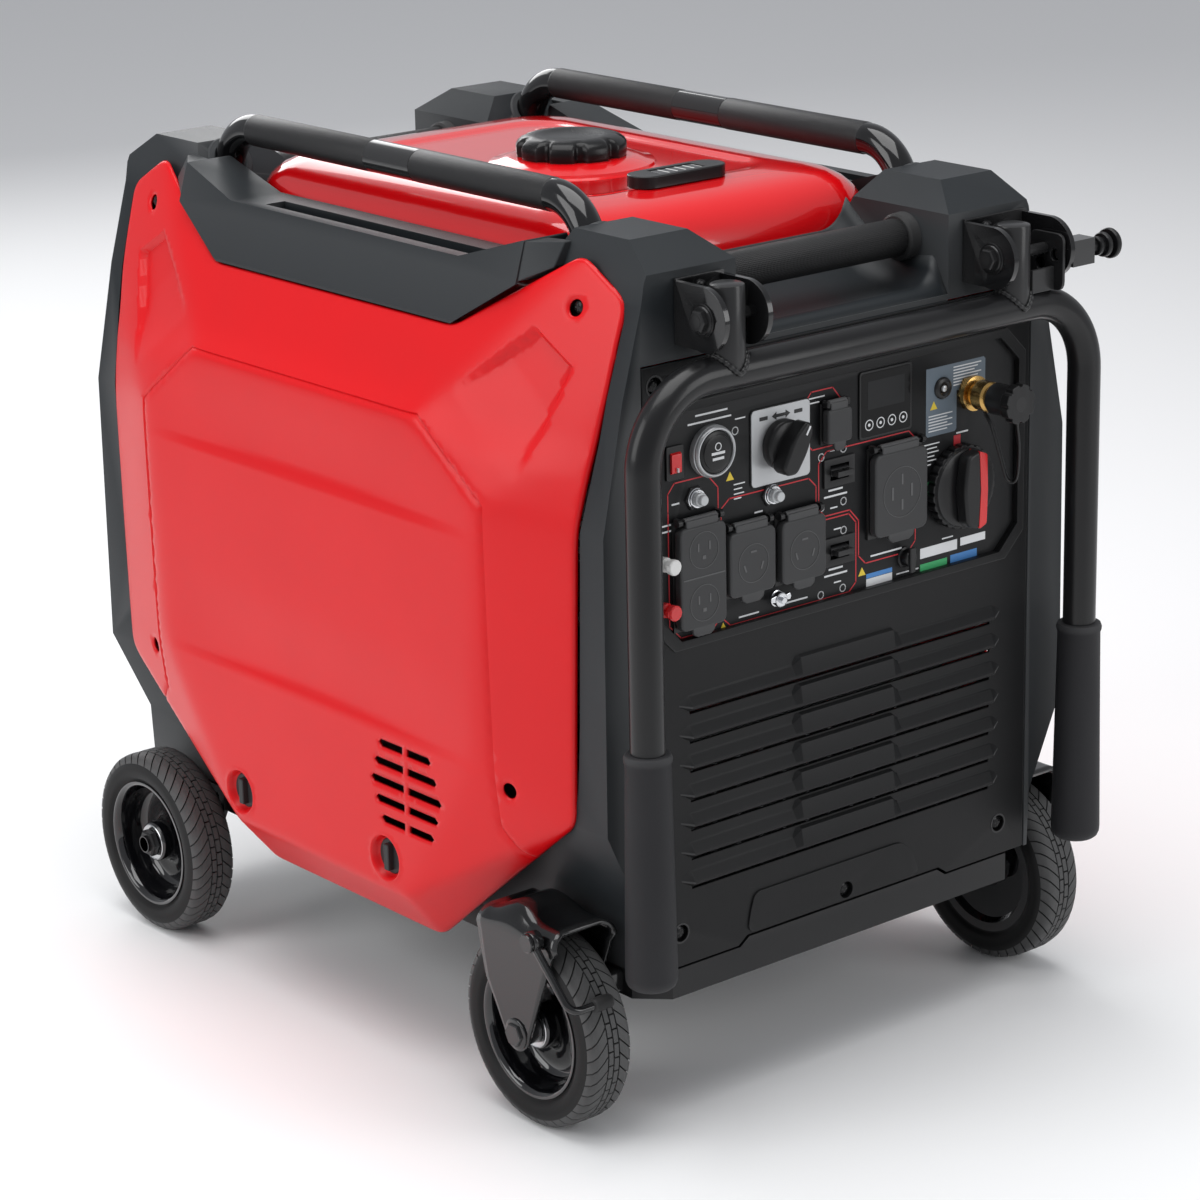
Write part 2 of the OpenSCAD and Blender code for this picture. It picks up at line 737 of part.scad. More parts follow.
module grip() difference() {
    translate([leg_x, pivot_y, base_z + grip_low]) rotate_extrude() polygon([
        [0, 0], [grip_d / 2 - 6, 0], [grip_d / 2 - 1.5, 2.5], [grip_d / 2, 8],
        [grip_d / 2 - 2.5, grip_len - 2], [grip_d / 2 - 4, grip_len], [0, grip_len]]);
    rod_z(base_z + grip_low + 5, base_z + grip_low + grip_len + 1, leg_x, pivot_y, tube_r);
}
module push_handle_grips() color([0.12, 0.12, 0.13]) both_sides() grip();

// ---- Wheels, forks and brake ----

rim_r = rim_d / 2;
module tyre_form() rotate_extrude() polygon([
    [rim_r, 4], [rim_r + 4, 1], [wheel_r - 14, 0], [wheel_r - 6, 2], [wheel_r - 1, 7], [wheel_r, 12],
    [wheel_r, wheel_w - 12], [wheel_r - 1, wheel_w - 7], [wheel_r - 6, wheel_w - 2],
    [wheel_r - 14, wheel_w], [rim_r + 4, wheel_w - 1], [rim_r, wheel_w - 4]]);

// The rim is a deep dish with its web towards the body.
hub_r = axle_r + 9;
module rim_form() rotate_extrude() polygon([
    [axle_r + run_gap, 2], [hub_r, 2], [hub_r + 2, 12], [rim_r - 12, 10], [rim_r - 8, 4],
    [rim_r, 4], [rim_r, wheel_w - 4], [rim_r - 4, wheel_w - 3], [rim_r - 8, 16], [rim_r - 14, 14],
    [hub_r + 3, 18], [hub_r, wheel_w - 8], [axle_r + run_gap, wheel_w - 8]]);

module at_wheel(end) translate([wheel_in, end * axle_y, wheel_r]) rotate([0, 90, 0]) children();

module front_right_tyre() color([0.04, 0.04, 0.04]) at_wheel(-1) tyre_form();
module front_right_rim() color([0.1, 0.1, 0.1]) at_wheel(-1) rim_form();
module rear_right_tyre() color([0.04, 0.04, 0.04]) at_wheel(1) tyre_form();
module rear_right_rim() color([0.1, 0.1, 0.1]) at_wheel(1) rim_form();
module front_left_tyre() color([0.04, 0.04, 0.04]) left_side() at_wheel(-1) tyre_form();
module front_left_rim() color([0.1, 0.1, 0.1]) left_side() at_wheel(-1) rim_form();
module rear_left_tyre() color([0.04, 0.04, 0.04]) left_side() at_wheel(1) tyre_form();
module rear_left_rim() color([0.1, 0.1, 0.1]) left_side() at_wheel(1) rim_form();

// Stub axles on plates bolted to the sides of the tray.
axle_plate_t = 5;
stub_axle_out = wheel_out + 2;
hub_out = wheel_out - 8;
module stub_axle() {
    along_x(tray_x, tray_x + axle_plate_t) difference() {
        union() {
            translate([axle_y, wheel_r]) circle(22);
            translate([axle_y - 40, base_z + 2]) square([80, tray_h - 2]);
            polygon([[axle_y - 40, base_z + 2], [axle_y - 20, wheel_r - 8],
                     [axle_y + 20, wheel_r - 8], [axle_y + 40, base_z + 2]]);
        }
        for (s = [-1, 1]) translate([axle_y + s * side_bolt_gap / 2, side_bolt_z]) circle(bolt_hole_r);
    }
    rod_x(tray_x + axle_plate_t, wheel_in, axle_y, wheel_r, axle_r + 4);
    rod_x(wheel_in, stub_axle_out, axle_y, wheel_r, axle_r);
}
module rear_axles() color([0.1, 0.1, 0.1]) both_sides() stub_axle();

fork_y = -axle_y;
module cheek_outline() {
    translate([fork_y, wheel_r]) circle(15);
    polygon([[fork_y - 13, wheel_r - 7], [fork_y - 40, wheel_r + 62], [fork_y - 54, crown_z],
             [fork_y - 44, crown_z + fork_t], [fork_y + 36, crown_z + fork_t],
             [fork_y + 50, crown_z - 10], [fork_y + 42, wheel_r + 40], [fork_y + 13, wheel_r - 7]]);
}

module wheel_fork() {
    along_x(wheel_out + fork_gap, cheek_out) cheek_outline();
    along_x(cheek_in, cheek_in + fork_t) cheek_outline();
    block([cheek_in, fork_y - 48, crown_z], [cheek_out, fork_y + 40, crown_z + fork_t]);
    difference() {
        block([tray_x, fork_y - 45, base_z + 3], [cheek_in, fork_y + 40, tray_top]);
        block([tray_x + fork_t, fork_y - 46, base_z + 3 + fork_t],
              [cheek_in - 1, fork_y + 41, tray_top + 1]);
        for (y = side_bolt_y) rod_x(tray_x - 1, tray_x + fork_t + 1, y, side_bolt_z, bolt_hole_r);
    }
    rod_x(cheek_in, cheek_out + 5, fork_y, wheel_r, axle_r);
    rod_x(cheek_in + 1, wheel_in + 1.5, fork_y, wheel_r, axle_r + 4);
    rod_x(hub_out + 0.5, cheek_out - 1, fork_y, wheel_r, axle_r + 4);
    rod_x(cheek_out, cheek_out + 4, fork_y, wheel_r, axle_r + 5);
}

brake_y = fork_y - 32;
brake_z = wheel_r + 94;
brake_r = brake_wire_d / 2;
brake_x = cheek_out + 3 + brake_r;
// The brake pad rests just clear of the tread, in front of the axle and
// behind the rubber grips.
pad_r = 6;
pad_reach = wheel_r + pad_r + 0.8;
pad_y = fork_y - 80.4;
pad_z = wheel_r + sqrt(pad_reach ^ 2 - (fork_y - pad_y) ^ 2);
pad_in = wheel_out - 26;

module brake_pivot() {
    rod_x(cheek_out, brake_x + 4, brake_y, brake_z, 5);
    rod_x(brake_x + 4, brake_x + 7, brake_y, brake_z, 8);
}
module left_wheel_fork() color([0.07, 0.07, 0.07]) left_side() {
    wheel_fork();
    brake_pivot();
}
module right_wheel_fork() color([0.07, 0.07, 0.07]) wheel_fork();

module brake_lever() color([0.1, 0.1, 0.1]) left_side() difference() {
    union() {
        rod_x(cheek_out + 0.5, brake_x + 3.5, brake_y, brake_z, 9);
        translate([brake_x, brake_y, brake_z])
            rotate([90 + atan2(brake_z - pad_z, brake_y - pad_y), 0, 0])
                cylinder(h = norm([brake_y - pad_y, brake_z - pad_z]), r = brake_r);
        rod_x(pad_in + 18, brake_x, pad_y, pad_z, brake_r);
        rod_x(pad_in, pad_in + 20, pad_y, pad_z, pad_r);
        translate([brake_x, pad_y, pad_z]) sphere(brake_r + 0.8);
    }
    rod_x(cheek_out - 1, brake_x + 9, brake_y, brake_z, 5 + run_gap);
}

// ---- Control panel ----

module control_panel() color([0.07, 0.07, 0.08]) difference() {
    along_y(face_y, back_y) panel_outline(-panel_inset + 2);
    on_panel(start_at) rod_y(-1, panel_t + 1, 0, 0, start_r + 1);
    on_panel(selector_at) rod_y(-1, panel_t + 1, 0, 0, knob_shaft_r + run_gap);
    on_panel(fuel_at) rod_y(-1, panel_t + 1, 0, 0, knob_shaft_r + run_gap);
    on_panel(gas_at) rod_y(-1, panel_t + 1, 0, 0, gas_r + run_gap);
    for (at = reset_at) on_panel(at) rod_y(-1, panel_t + 1, 0, 0, reset_r + run_gap);
    for (at = breaker_at) on_panel(at) block([-14, -1, -9], [14, panel_t + 1, 9]);
    outlets() outlet_hole();
    on_panel(usb_at) rect_y(usb_size, -10, -1, panel_t + 1);
    on_panel(display_at) rect_y(display_size, -6, -1, panel_t + 1);
    on_panel(rocker_at) block([-7, -1, -12], [7, panel_t + 1, 12]);
}

// A rectangle in X and Z around the origin, given thickness along Y.
module rect_y(size, grow, y0, y1) {
    x = (size[0] + grow) / 2;
    z = (size[1] + grow) / 2;
    block([-x, y0, -z], [x, y1, z]);
}

module outlet(size) {
    $size = size;
    children();
}
module outlets() {
    on_panel(duplex_at) outlet(duplex_size) children();
    on_panel(lock_left_at) outlet(lock_left_size) children();
    on_panel(lock_right_at) outlet(lock_right_size) children();
    on_panel(range_at) outlet(range_size) children();
}
module outlet_hole() rect_y($size, -10, -1, panel_t + 1);

// The hinge line of a cover lies along its top edge.
hinge_out = frame_t + barrel_r + 0.4;
module hinge_pin(size) {
    rod_x(-size[0] / 2 + 1, size[0] / 2 - 1, -hinge_out, size[1] / 2, hinge_r);
    for (s = [-1, 1]) translate([s * (size[0] / 2 - 3), 0, size[1] / 2]) {
        rod_x(-2, 2, -hinge_out, 0, barrel_r);
        block([-2, -hinge_out, -barrel_r + 1], [2, -frame_t + 0.5, barrel_r]);
    }
}
module outlet_body() {
    rect_y($size, -10.4, -frame_t, 38);
    rect_y($size, 0, -frame_t, 0);
    hinge_pin($size);
}
module receptacles() color([0.05, 0.05, 0.05]) outlets() outlet_body();

module flip_cover(size) {
    w = size[0] / 2 - 0.5;
    top = size[1] / 2 - barrel_r - 0.5;
    low = -size[1] / 2 + 1;
    difference() {
        union() {
            block([-w, -frame_t - cover_t, low], [w, -frame_t - 0.4, top]);
            block([-8, -frame_t - cover_t, low - 5], [8, -frame_t - cover_t + 4, low + 1]);
            block([-w + 6, -frame_t - cover_t, top - 1], [w - 6, -hinge_out, size[1] / 2]);
            rod_x(-w + 6, w - 6, -hinge_out, size[1] / 2, barrel_r);
        }
        block([-w + 2, -frame_t - cover_t + 2, low + 2], [w - 2, -frame_t, top - 2]);
        rod_x(-w, w, -hinge_out, size[1] / 2, hinge_r + run_gap);
    }
}
module duplex_cover() color([0.06, 0.06, 0.06]) on_panel(duplex_at) flip_cover(duplex_size);
module left_locking_cover() color([0.06, 0.06, 0.06]) on_panel(lock_left_at) flip_cover(lock_left_size);
module right_locking_cover() color([0.06, 0.06, 0.06]) on_panel(lock_right_at) flip_cover(lock_right_size);
module range_cover() color([0.06, 0.06, 0.06]) on_panel(range_at) flip_cover(range_size);
module usb_cover() color([0.06, 0.06, 0.06]) on_panel(usb_at) flip_cover(usb_size);

toggle_y = 2;
module breaker_bodies() color([0.05, 0.05, 0.05]) {
    for (at = breaker_at) on_panel(at) difference() {
        union() {
            block([-14, -2, -9], [14, 34, 9]);
            block([-17, -2, -12], [17, 0, 12]);
        }
        block([-10.5, -3, -6.5], [10.5, 14, 6.5]);
        rod_x(-13, 13, toggle_y, 0, 1.5 + run_gap);
    }
}
module toggle() {
    rod_x(-12, 12, toggle_y, 0, 1.5);
    difference() {
        rod_x(-10, 10, toggle_y, 0, 5);
        block([-11, toggle_y - 6, -6], [11, toggle_y - 4.4, 6]);
    }
    for (s = [-1, 1]) translate([s * 6, 0, 0])
        block([-3, -10, -2.2], [3, toggle_y, 2.2]);
    block([-9, -10, -2.2], [9, -7, 2.2]);
}
module upper_breaker_toggle() color([0.04, 0.04, 0.04]) on_panel(breaker_at[0]) toggle();
module lower_breaker_toggle() color([0.04, 0.04, 0.04]) on_panel(breaker_at[1]) toggle();

module panel_fittings() color([0.55, 0.56, 0.58]) {
    on_panel(selector_at) difference() {
        rect_y([selector_side, selector_side], 0, -2, 0);
        rod_y(-3, 1, 0, 0, knob_shaft_r + run_gap);
    }
    on_panel(start_at) difference() {
        rod_y(-9, 0, 0, 0, start_d / 2);
        rod_y(-10, 1, 0, 0, start_r + run_gap);
    }
    on_panel(start_at) difference() {
        rod_y(0, 24, 0, 0, start_r + 0.95);
        rod_y(-1, 22, 0, 0, start_r + run_gap);
    }
    on_panel(display_at) {
        rect_y(display_size, 0, -2, 0);
        rect_y(display_size, -6.4, 0, 26);
    }
    on_panel(usb_at) {
        rect_y(usb_size, 0, -frame_t, 0);
        rect_y(usb_size, -10.4, 0, 26);
        hinge_pin(usb_size);
    }
    on_panel(light_at) rod_y(-4, 0, 0, 0, 7);
    on_panel(port_at) {
        rod_y(-8, 0, 0, 0, 9);
        rod_y(-11, -8, 0, 0, 6);
    }
    on_panel(ground_at) {
        rod_y(-12, 0, 0, 0, 3);
        rod_y(-3, 0, 0, 0, 7);
        rod_y(-9, -4, 0, 0, 6);
    }
    for (at = terminal_at) on_panel(at) {
        rod_y(-10, 0, 0, 0, 6);
        rod_y(-16, -10, 0, 0, 4);
    }
    for (at = reset_at) on_panel(at) difference() {
        rod_y(-5, 0, 0, 0, reset_r + 2.5);
        rod_y(-6, 1, 0, 0, reset_r + run_gap);
    }
    on_panel(rocker_at) difference() {
        union() {
            block([-9, -2, -14], [9, 0, 14]);
            block([-6.8, -2, -11.8], [6.8, 20, 11.8]);
        }
        block([-5.5, -3, -10.5], [5.5, 12, 10.5]);
        rod_x(-6.5, 6.5, 2, 0, 1.5 + run_gap);
    }
}

start_travel = 3;
module start_button() color([0.05, 0.05, 0.05]) on_panel(start_at) {
    rod_y(-8.5, 10, 0, 0, start_r);
    rod_y(-7.5 - start_travel, -8.5, 0, 0, start_r - 2);
}
module selector_knob() color([0.05, 0.05, 0.05]) on_panel(selector_at) {
    rod_y(-6, 14, 0, 0, knob_shaft_r);
    rod_y(-16, -2.5, 0, 0, 21);
    block([-5, -26, -20], [5, -15, 20]);
}
module fuel_knob() color([0.05, 0.05, 0.05]) on_panel(fuel_at) {
    rod_y(-6, 14, 0, 0, knob_shaft_r);
    rod_y(-14, -0.6, 0, 0, fuel_d / 2);
    block([-9, -26, -fuel_d / 2 + 3], [9, -13, fuel_d / 2 - 3]);
}
module rocker_switch() color([0.8, 0.1, 0.08]) on_panel(rocker_at) {
    rod_x(-6.3, 6.3, 2, 0, 1.5);
    difference() {
        rod_x(-5.2, 5.2, 2, 0, 9.5);
        block([-6, -12, -12], [6, -4, 12]);
        block([-6, 6, -12], [6, 12, 12]);
    }
}
module reset_button() {
    rod_y(-9, 8, 0, 0, reset_r);
    rod_y(-13, -9, 0, 0, reset_r - 2);
}
module left_reset_button() color([0.85, 0.85, 0.85]) on_panel(reset_at[0]) reset_button();
module right_reset_button() color([0.85, 0.85, 0.85]) on_panel(reset_at[1]) reset_button();

module gas_inlet() color([0.72, 0.55, 0.25]) on_panel(gas_at) {
    rod_y(-gas_len, 26, 0, 0, gas_r);
    rod_y(-8, 0, 0, 0, gas_r + 5);
    rod_y(-26, -14, 0, 0, gas_r + 2.5);
}
module gas_cap() color([0.05, 0.05, 0.05]) on_panel(gas_at) difference() {
    union() {
        rod_y(-gas_len - 6, -gas_len + 16, 0, 0, gas_r + 3);
        rod_y(-gas_len - 15, -gas_len - 6, 0, 0, gas_r + 6.5);
    }
    rod_y(-gas_len - 0.3, -gas_len + 17, 0, 0, gas_r + run_gap);
}

// ---- Power unit ----

engine_front = stator_front + stator_len + 8;
module engine_block() color([0.55, 0.56, 0.58]) difference() {
    union() {
        block([-95, engine_front, base_z + tray_t], [95, engine_front + 150, crank_z + 85]);
        translate([0, engine_front + 60, crank_z + 60]) rotate([0, 25, 0]) {
            for (i = [0 : 7]) block([-62, -58, i * 12], [62, 58, i * 12 + 6]);
            cylinder(h = 110, r = 46);
            block([-58, -50, 92], [58, 50, 125]);
        }
    }
    rod_y(engine_front - 1, engine_front + 151, 0, crank_z, crank_r + run_gap);
    block([-85, engine_front + 10, base_z + 12], [85, engine_front + 140, crank_z - crank_r - 20]);
}

module alternator_stator() color([0.6, 0.6, 0.62]) {
    difference() {
        rod_y(stator_front, stator_front + stator_len, 0, crank_z, stator_r);
        rod_y(stator_front - 1, stator_front + stator_len + 1, 0, crank_z, stator_in);
    }
    both_sides()
        block([60, stator_front + 12, base_z + tray_t],
              [88, stator_front + stator_len - 12, crank_z - 75]);
}

module rotor() color([0.5, 0.5, 0.52]) {
    rod_y(stator_front - 40, engine_front + 165, 0, crank_z, crank_r);
    rod_y(stator_front + 6, stator_front + stator_len - 6, 0, crank_z, stator_in - air_gap);
    rod_y(stator_front - 16, stator_front - 10, 0, crank_z, stator_r - 8);
    for (i = [0 : 11]) translate([0, 0, crank_z]) rotate([0, i * 30, 0])
        block([40, stator_front - 34, -2], [stator_r - 10, stator_front - 15, 2]);
}

module muffler() color([0.45, 0.44, 0.43]) {
    rod_x(-120, 150, yf - 75, top_z - 300, muffler_r);
    rod_y(yf - 75, yf + 6, -110, top_z - 300, muffler_r / 2);
}

module inverter_unit() color([0.6, 0.62, 0.64]) {
    block([-175, -yf + 60, base_z + tray_t], [175, -yf + 118, base_z + 200]);
    for (i = [0 : 13])
        block([-172 + i * 26, -yf + 32, base_z + 20], [-168 + i * 26, -yf + 61, base_z + 190]);
}

module battery() color([0.12, 0.12, 0.13]) {
    block([-205, -160, base_z + tray_t], [-125, -80, base_z + tray_t + 95]);
    for (y = [-145, -95]) rod_z(base_z + tray_t + 94, base_z + tray_t + 104, -165, y, 6);
}

// ---- Screws, bolts and nuts ----

module screw_head(r) {
    rod_y(-3, 0, 0, 0, r);
    rod_y(-0.5, 9, 0, 0, 3);
}

// A quarter-turn lock: a plug behind the panel's hole, with a bar to turn it by.
module turn_lock(y, z) {
    rod_x(hx - wall - lock_plug_t, hx - wall, y, z, lock_hole_r + lock_plug_edge);
    block([hx - wall - 1, y - 3.5, z - 11], [hx - wall + 2, y + 3.5, z + 11]);
}

module fasteners() color([0.12, 0.12, 0.12]) {
    for (end = [0, 180]) rotate([0, 0, end]) cover_screws() translate([0, -yf, 0]) screw_head(6);
    both_sides() for (s = [-1, 1]) for (b = side_bosses) {
        rod_x(hx - b[2] - screw_sink, hx - b[2] - screw_sink + 3, s * b[0], b[1], screw_r);
        rod_x(hx - b[2] - screw_sink - 12, hx - b[2] - screw_sink + 0.5, s * b[0], b[1], 3);
    }
    both_sides() for (t = turn_locks) turn_lock(t[0], t[1]);
    bracket_bolts() translate([0, plate_y - plate_t, 0]) screw_head(5.5);
    left_side() pivot_bolt(stub_x - ear_gap - ear_t, stub_x + ear_gap + ear_t);
    pivot_bolt(stub_x - ear_gap - ear_t, far_ear_x + ear_t);
    left_side() rod_x(stub_x + ear_gap + ear_t, stub_x + ear_gap + ear_t + 4, pivot_y, pivot_z, bolt_r + 3);
    both_sides() {
        difference() {
            translate([hub_out + 0.5, axle_y, wheel_r]) rotate([0, 90, 0])
                cylinder(h = 7, r = axle_r + 5, $fn = 6);
            rod_x(hub_out, stub_axle_out + 1, axle_y, wheel_r, axle_r);
        }
        for (y = side_bolt_y) {
            seat = tray_x + (y > 0 ? axle_plate_t : fork_t);
            rod_x(tray_x - 8, seat, y, side_bolt_z, side_bolt_r);
            rod_x(seat, seat + 4, y, side_bolt_z, side_bolt_r + 2);
        }
    }
}

// A hex bolt through both ears, with its head on the inner ear.
module pivot_bolt(near_x, far_x) {
    rod_x(near_x - 8, far_x, pivot_y, pivot_z, bolt_r);
    translate([near_x - 6, pivot_y, pivot_z]) rotate([0, 90, 0]) cylinder(h = 6, r = bolt_r + 4, $fn = 6);
}

base_tray();
front_cover();
rear_cover();
front_surround();
rear_surround();
left_side_panel();
right_side_panel();
left_top_rail();
right_top_rail();
control_panel();
fuel_tank();
fuel_gauge();
left_carry_handle();
right_carry_handle();
front_cross_handle();
rear_cross_handle();
left_handle_bracket();
right_handle_bracket();
rear_axles();
left_wheel_fork();
right_wheel_fork();
fasteners();
receptacles();
breaker_bodies();
panel_fittings();
gas_inlet();
engine_block();
muffler();
alternator_stator();
inverter_unit();
battery();
rotor();
fuel_cap_insert();
fuel_cap();
push_handle();
push_handle_grips();
lock_pin();
front_left_tyre();
front_left_rim();
front_right_tyre();
front_right_rim();
rear_left_tyre();
rear_left_rim();
rear_right_tyre();
rear_right_rim();
brake_lever();
start_button();
selector_knob();
fuel_knob();
rocker_switch();
upper_breaker_toggle();
lower_breaker_toggle();
duplex_cover();
left_locking_cover();
right_locking_cover();
range_cover();
usb_cover();
gas_cap();
left_reset_button();
right_reset_button();
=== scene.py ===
import math

import bmesh
import bpy
import numpy as np
from mathutils import Matrix, Vector
from mathutils.geometry import delaunay_2d_cdt


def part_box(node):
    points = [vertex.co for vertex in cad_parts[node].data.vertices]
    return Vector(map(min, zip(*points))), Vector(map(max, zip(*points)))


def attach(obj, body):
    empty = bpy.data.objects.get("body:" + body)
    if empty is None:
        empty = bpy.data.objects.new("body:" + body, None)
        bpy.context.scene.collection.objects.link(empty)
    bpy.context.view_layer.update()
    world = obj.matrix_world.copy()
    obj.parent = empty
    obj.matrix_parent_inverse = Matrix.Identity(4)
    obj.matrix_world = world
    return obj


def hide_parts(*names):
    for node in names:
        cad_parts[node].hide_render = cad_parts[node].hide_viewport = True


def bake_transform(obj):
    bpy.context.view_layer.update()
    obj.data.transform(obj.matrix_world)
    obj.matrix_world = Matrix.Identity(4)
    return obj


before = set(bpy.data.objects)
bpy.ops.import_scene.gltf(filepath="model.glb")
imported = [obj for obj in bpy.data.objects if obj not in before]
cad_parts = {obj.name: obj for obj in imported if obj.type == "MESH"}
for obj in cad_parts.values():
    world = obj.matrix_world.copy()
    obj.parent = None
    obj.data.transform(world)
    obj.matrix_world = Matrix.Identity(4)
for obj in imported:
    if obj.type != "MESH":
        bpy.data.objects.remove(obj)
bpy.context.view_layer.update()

# ---- Camera, floor and studio light ----
# A long lens from the left of the control panel, a little above the handles.
azimuth, elevation, roll = (math.radians(a) for a in (-39.341, 17.492, -1.266))
back = Vector((math.sin(azimuth) * math.cos(elevation),
               -math.cos(azimuth) * math.cos(elevation), math.sin(elevation)))
level_right = Vector((-back.y, back.x, 0)).normalized()
level_up = back.cross(level_right)
right = level_right * math.cos(roll) + level_up * math.sin(roll)
up = level_up * math.cos(roll) - level_right * math.sin(roll)
camera = bpy.data.objects.new("camera", bpy.data.cameras.new("camera"))
camera.data.lens = 108.607
camera.data.sensor_width = 36
camera.matrix_world = Matrix((
    (right.x, up.x, back.x, -1.97810),
    (right.y, up.y, back.y, -2.45872),
    (right.z, up.z, back.z, 1.32468),
    (0, 0, 0, 1)))
bpy.context.scene.collection.objects.link(camera)
bpy.context.scene.camera = camera
bpy.context.scene.view_settings.view_transform = "Standard"

world = bpy.data.worlds.new("studio")
world.use_nodes = True
world.node_tree.nodes["Background"].inputs["Color"].default_value = (0.93, 0.95, 1.0, 1)
world.node_tree.nodes["Background"].inputs["Strength"].default_value = 0.44
bpy.context.scene.world = world


def softbox(name, place, size, power):
    """A square light aimed at the middle of the machine."""
    light = bpy.data.lights.new(name, "AREA")
    light.shape = "RECTANGLE"
    light.size, light.size_y = size
    light.energy = power
    lamp = bpy.data.objects.new(name, light)
    aim = Vector((0, 0, 0.42)) - Vector(place)
    lamp.matrix_world = Matrix.Translation(place) @ aim.to_track_quat("-Z", "Y").to_matrix().to_4x4()
    bpy.context.scene.collection.objects.link(lamp)


softbox("overhead", (-0.3, -0.2, 3.2), (2.6, 2.6), 76)
softbox("left_side", (-3.0, 0.7, 1.7), (1.8, 2.2), 40)
softbox("front", (1.6, -3.2, 1.5), (1.4, 2.0), 30)
softbox("rear", (0.9, 3.2, 2.0), (2.2, 1.6), 34)

floor_mesh = bpy.data.meshes.new("floor")
floor_mesh.from_pydata([(-9, -9, 0), (9, -9, 0), (9, 9, 0), (-9, 9, 0)], [], [(0, 1, 2, 3)])
floor = bpy.data.objects.new("floor", floor_mesh)
floor_paint = bpy.data.materials.new("floor_paint")
floor_paint.use_nodes = True
floor_paint.node_tree.nodes["Principled BSDF"].inputs["Base Color"].default_value = (0.9, 0.9, 0.9, 1)
floor_paint.node_tree.nodes["Principled BSDF"].inputs["Roughness"].default_value = 0.7
floor_mesh.materials.append(floor_paint)
bpy.context.scene.collection.objects.link(floor)

# ---- Base tray ----
# A folded sheet-steel tray, powder coated black. Everything stands on it, and its
# corners carry rounded feet pressed from the same sheet.
tray_lo, tray_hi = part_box("base_tray")
base_z = tray_lo.z
tray_x = tray_hi.x
half_len = tray_hi.y
tray_rim = 0.025
lip_rise = 0.007


def node_group(name, inputs, outputs):
    """An empty shader group with named sockets, and its input and output nodes."""
    group = bpy.data.node_groups.new(name, "ShaderNodeTree")
    for label, kind, value in inputs:
        socket = group.interface.new_socket(label, in_out="INPUT", socket_type=kind)
        socket.default_value = value
    for label, kind in outputs:
        group.interface.new_socket(label, in_out="OUTPUT", socket_type=kind)
    return group, group.nodes.new("NodeGroupInput"), group.nodes.new("NodeGroupOutput")


FLOAT, COLOUR, VECTOR = "NodeSocketFloat", "NodeSocketColor", "NodeSocketVector"

# Moulded or sprayed skin: a fine tooth in the surface, and a slow drift in its shade and polish, with convex edges
# lightened toward pale grey as a painted highlight where edges catch the light.
skin, skin_in, skin_out = node_group("skin", [
    ("Colour", COLOUR, (0.5, 0.5, 0.5, 1)), ("Drift", FLOAT, 0.1), ("Roughness", FLOAT, 0.4),
    ("Spread", FLOAT, 0.08), ("Grain size", FLOAT, 1400.0), ("Grain depth", FLOAT, 0.1),
    ("Painted edge highlight", FLOAT, 0.1)], [("Colour", COLOUR), ("Roughness", FLOAT), ("Normal", VECTOR)])


def wire(tree, kind, links, **settings):
    """Adds a node, sets its properties, and links or sets its inputs by name or number."""
    node = tree.nodes.new(kind)
    for key, value in settings.items():
        setattr(node, key, value)
    for key, value in links.items():
        if isinstance(value, bpy.types.NodeSocket):
            tree.links.new(value, node.inputs[key])
        else:
            node.inputs[key].default_value = value
    return node


def figure(tree, operation, *values):
    """Adds a math node on the values and gives its output."""
    return wire(tree, "ShaderNodeMath", dict(enumerate(values)), operation=operation).outputs[0]


place = wire(skin, "ShaderNodeTexCoord", {}).outputs["Object"]
drift = wire(skin, "ShaderNodeTexNoise", {"Vector": place, "Scale": 9.0, "Detail": 3.0})
grain = wire(skin, "ShaderNodeTexNoise", {
    "Vector": place, "Scale": skin_in.outputs["Grain size"], "Detail": 2.0})
edges = wire(skin, "ShaderNodeNewGeometry", {}).outputs["Pointiness"]
# Pointiness lightens convex edges toward pale grey: a painted highlight where edges catch the light.
painted_highlight = wire(skin, "ShaderNodeMapRange", {
    "Value": edges, "From Min": 0.52, "From Max": 0.62, "To Min": 0.0,
    "To Max": skin_in.outputs["Painted edge highlight"]}).outputs["Result"]
shade = wire(skin, "ShaderNodeMapRange", {
    "Value": drift.outputs["Fac"], "From Min": 0.3, "From Max": 0.7, "To Min": 0.0,
    "To Max": skin_in.outputs["Drift"]}).outputs["Result"]
darker = wire(skin, "ShaderNodeMix", {
    0: shade, 6: skin_in.outputs["Colour"], 7: (0.0, 0.0, 0.0, 1)}, data_type="RGBA")
painted_highlight_mix = wire(skin, "ShaderNodeMix", {
    0: painted_highlight, 6: darker.outputs[2], 7: (0.6, 0.6, 0.6, 1)}, data_type="RGBA")
centred = wire(skin, "ShaderNodeMath", {
    0: drift.outputs["Fac"], 1: 0.5}, operation="SUBTRACT").outputs[0]
polish = wire(skin, "ShaderNodeMath", {
    0: centred, 1: skin_in.outputs["Spread"], 2: skin_in.outputs["Roughness"]},
    operation="MULTIPLY_ADD").outputs[0]
tooth = wire(skin, "ShaderNodeBump", {
    "Height": grain.outputs["Fac"], "Strength": skin_in.outputs["Grain depth"], "Distance": 0.0004})
skin.links.new(painted_highlight_mix.outputs[2], skin_out.inputs["Colour"])
skin.links.new(polish, skin_out.inputs["Roughness"])
skin.links.new(tooth.outputs["Normal"], skin_out.inputs["Normal"])
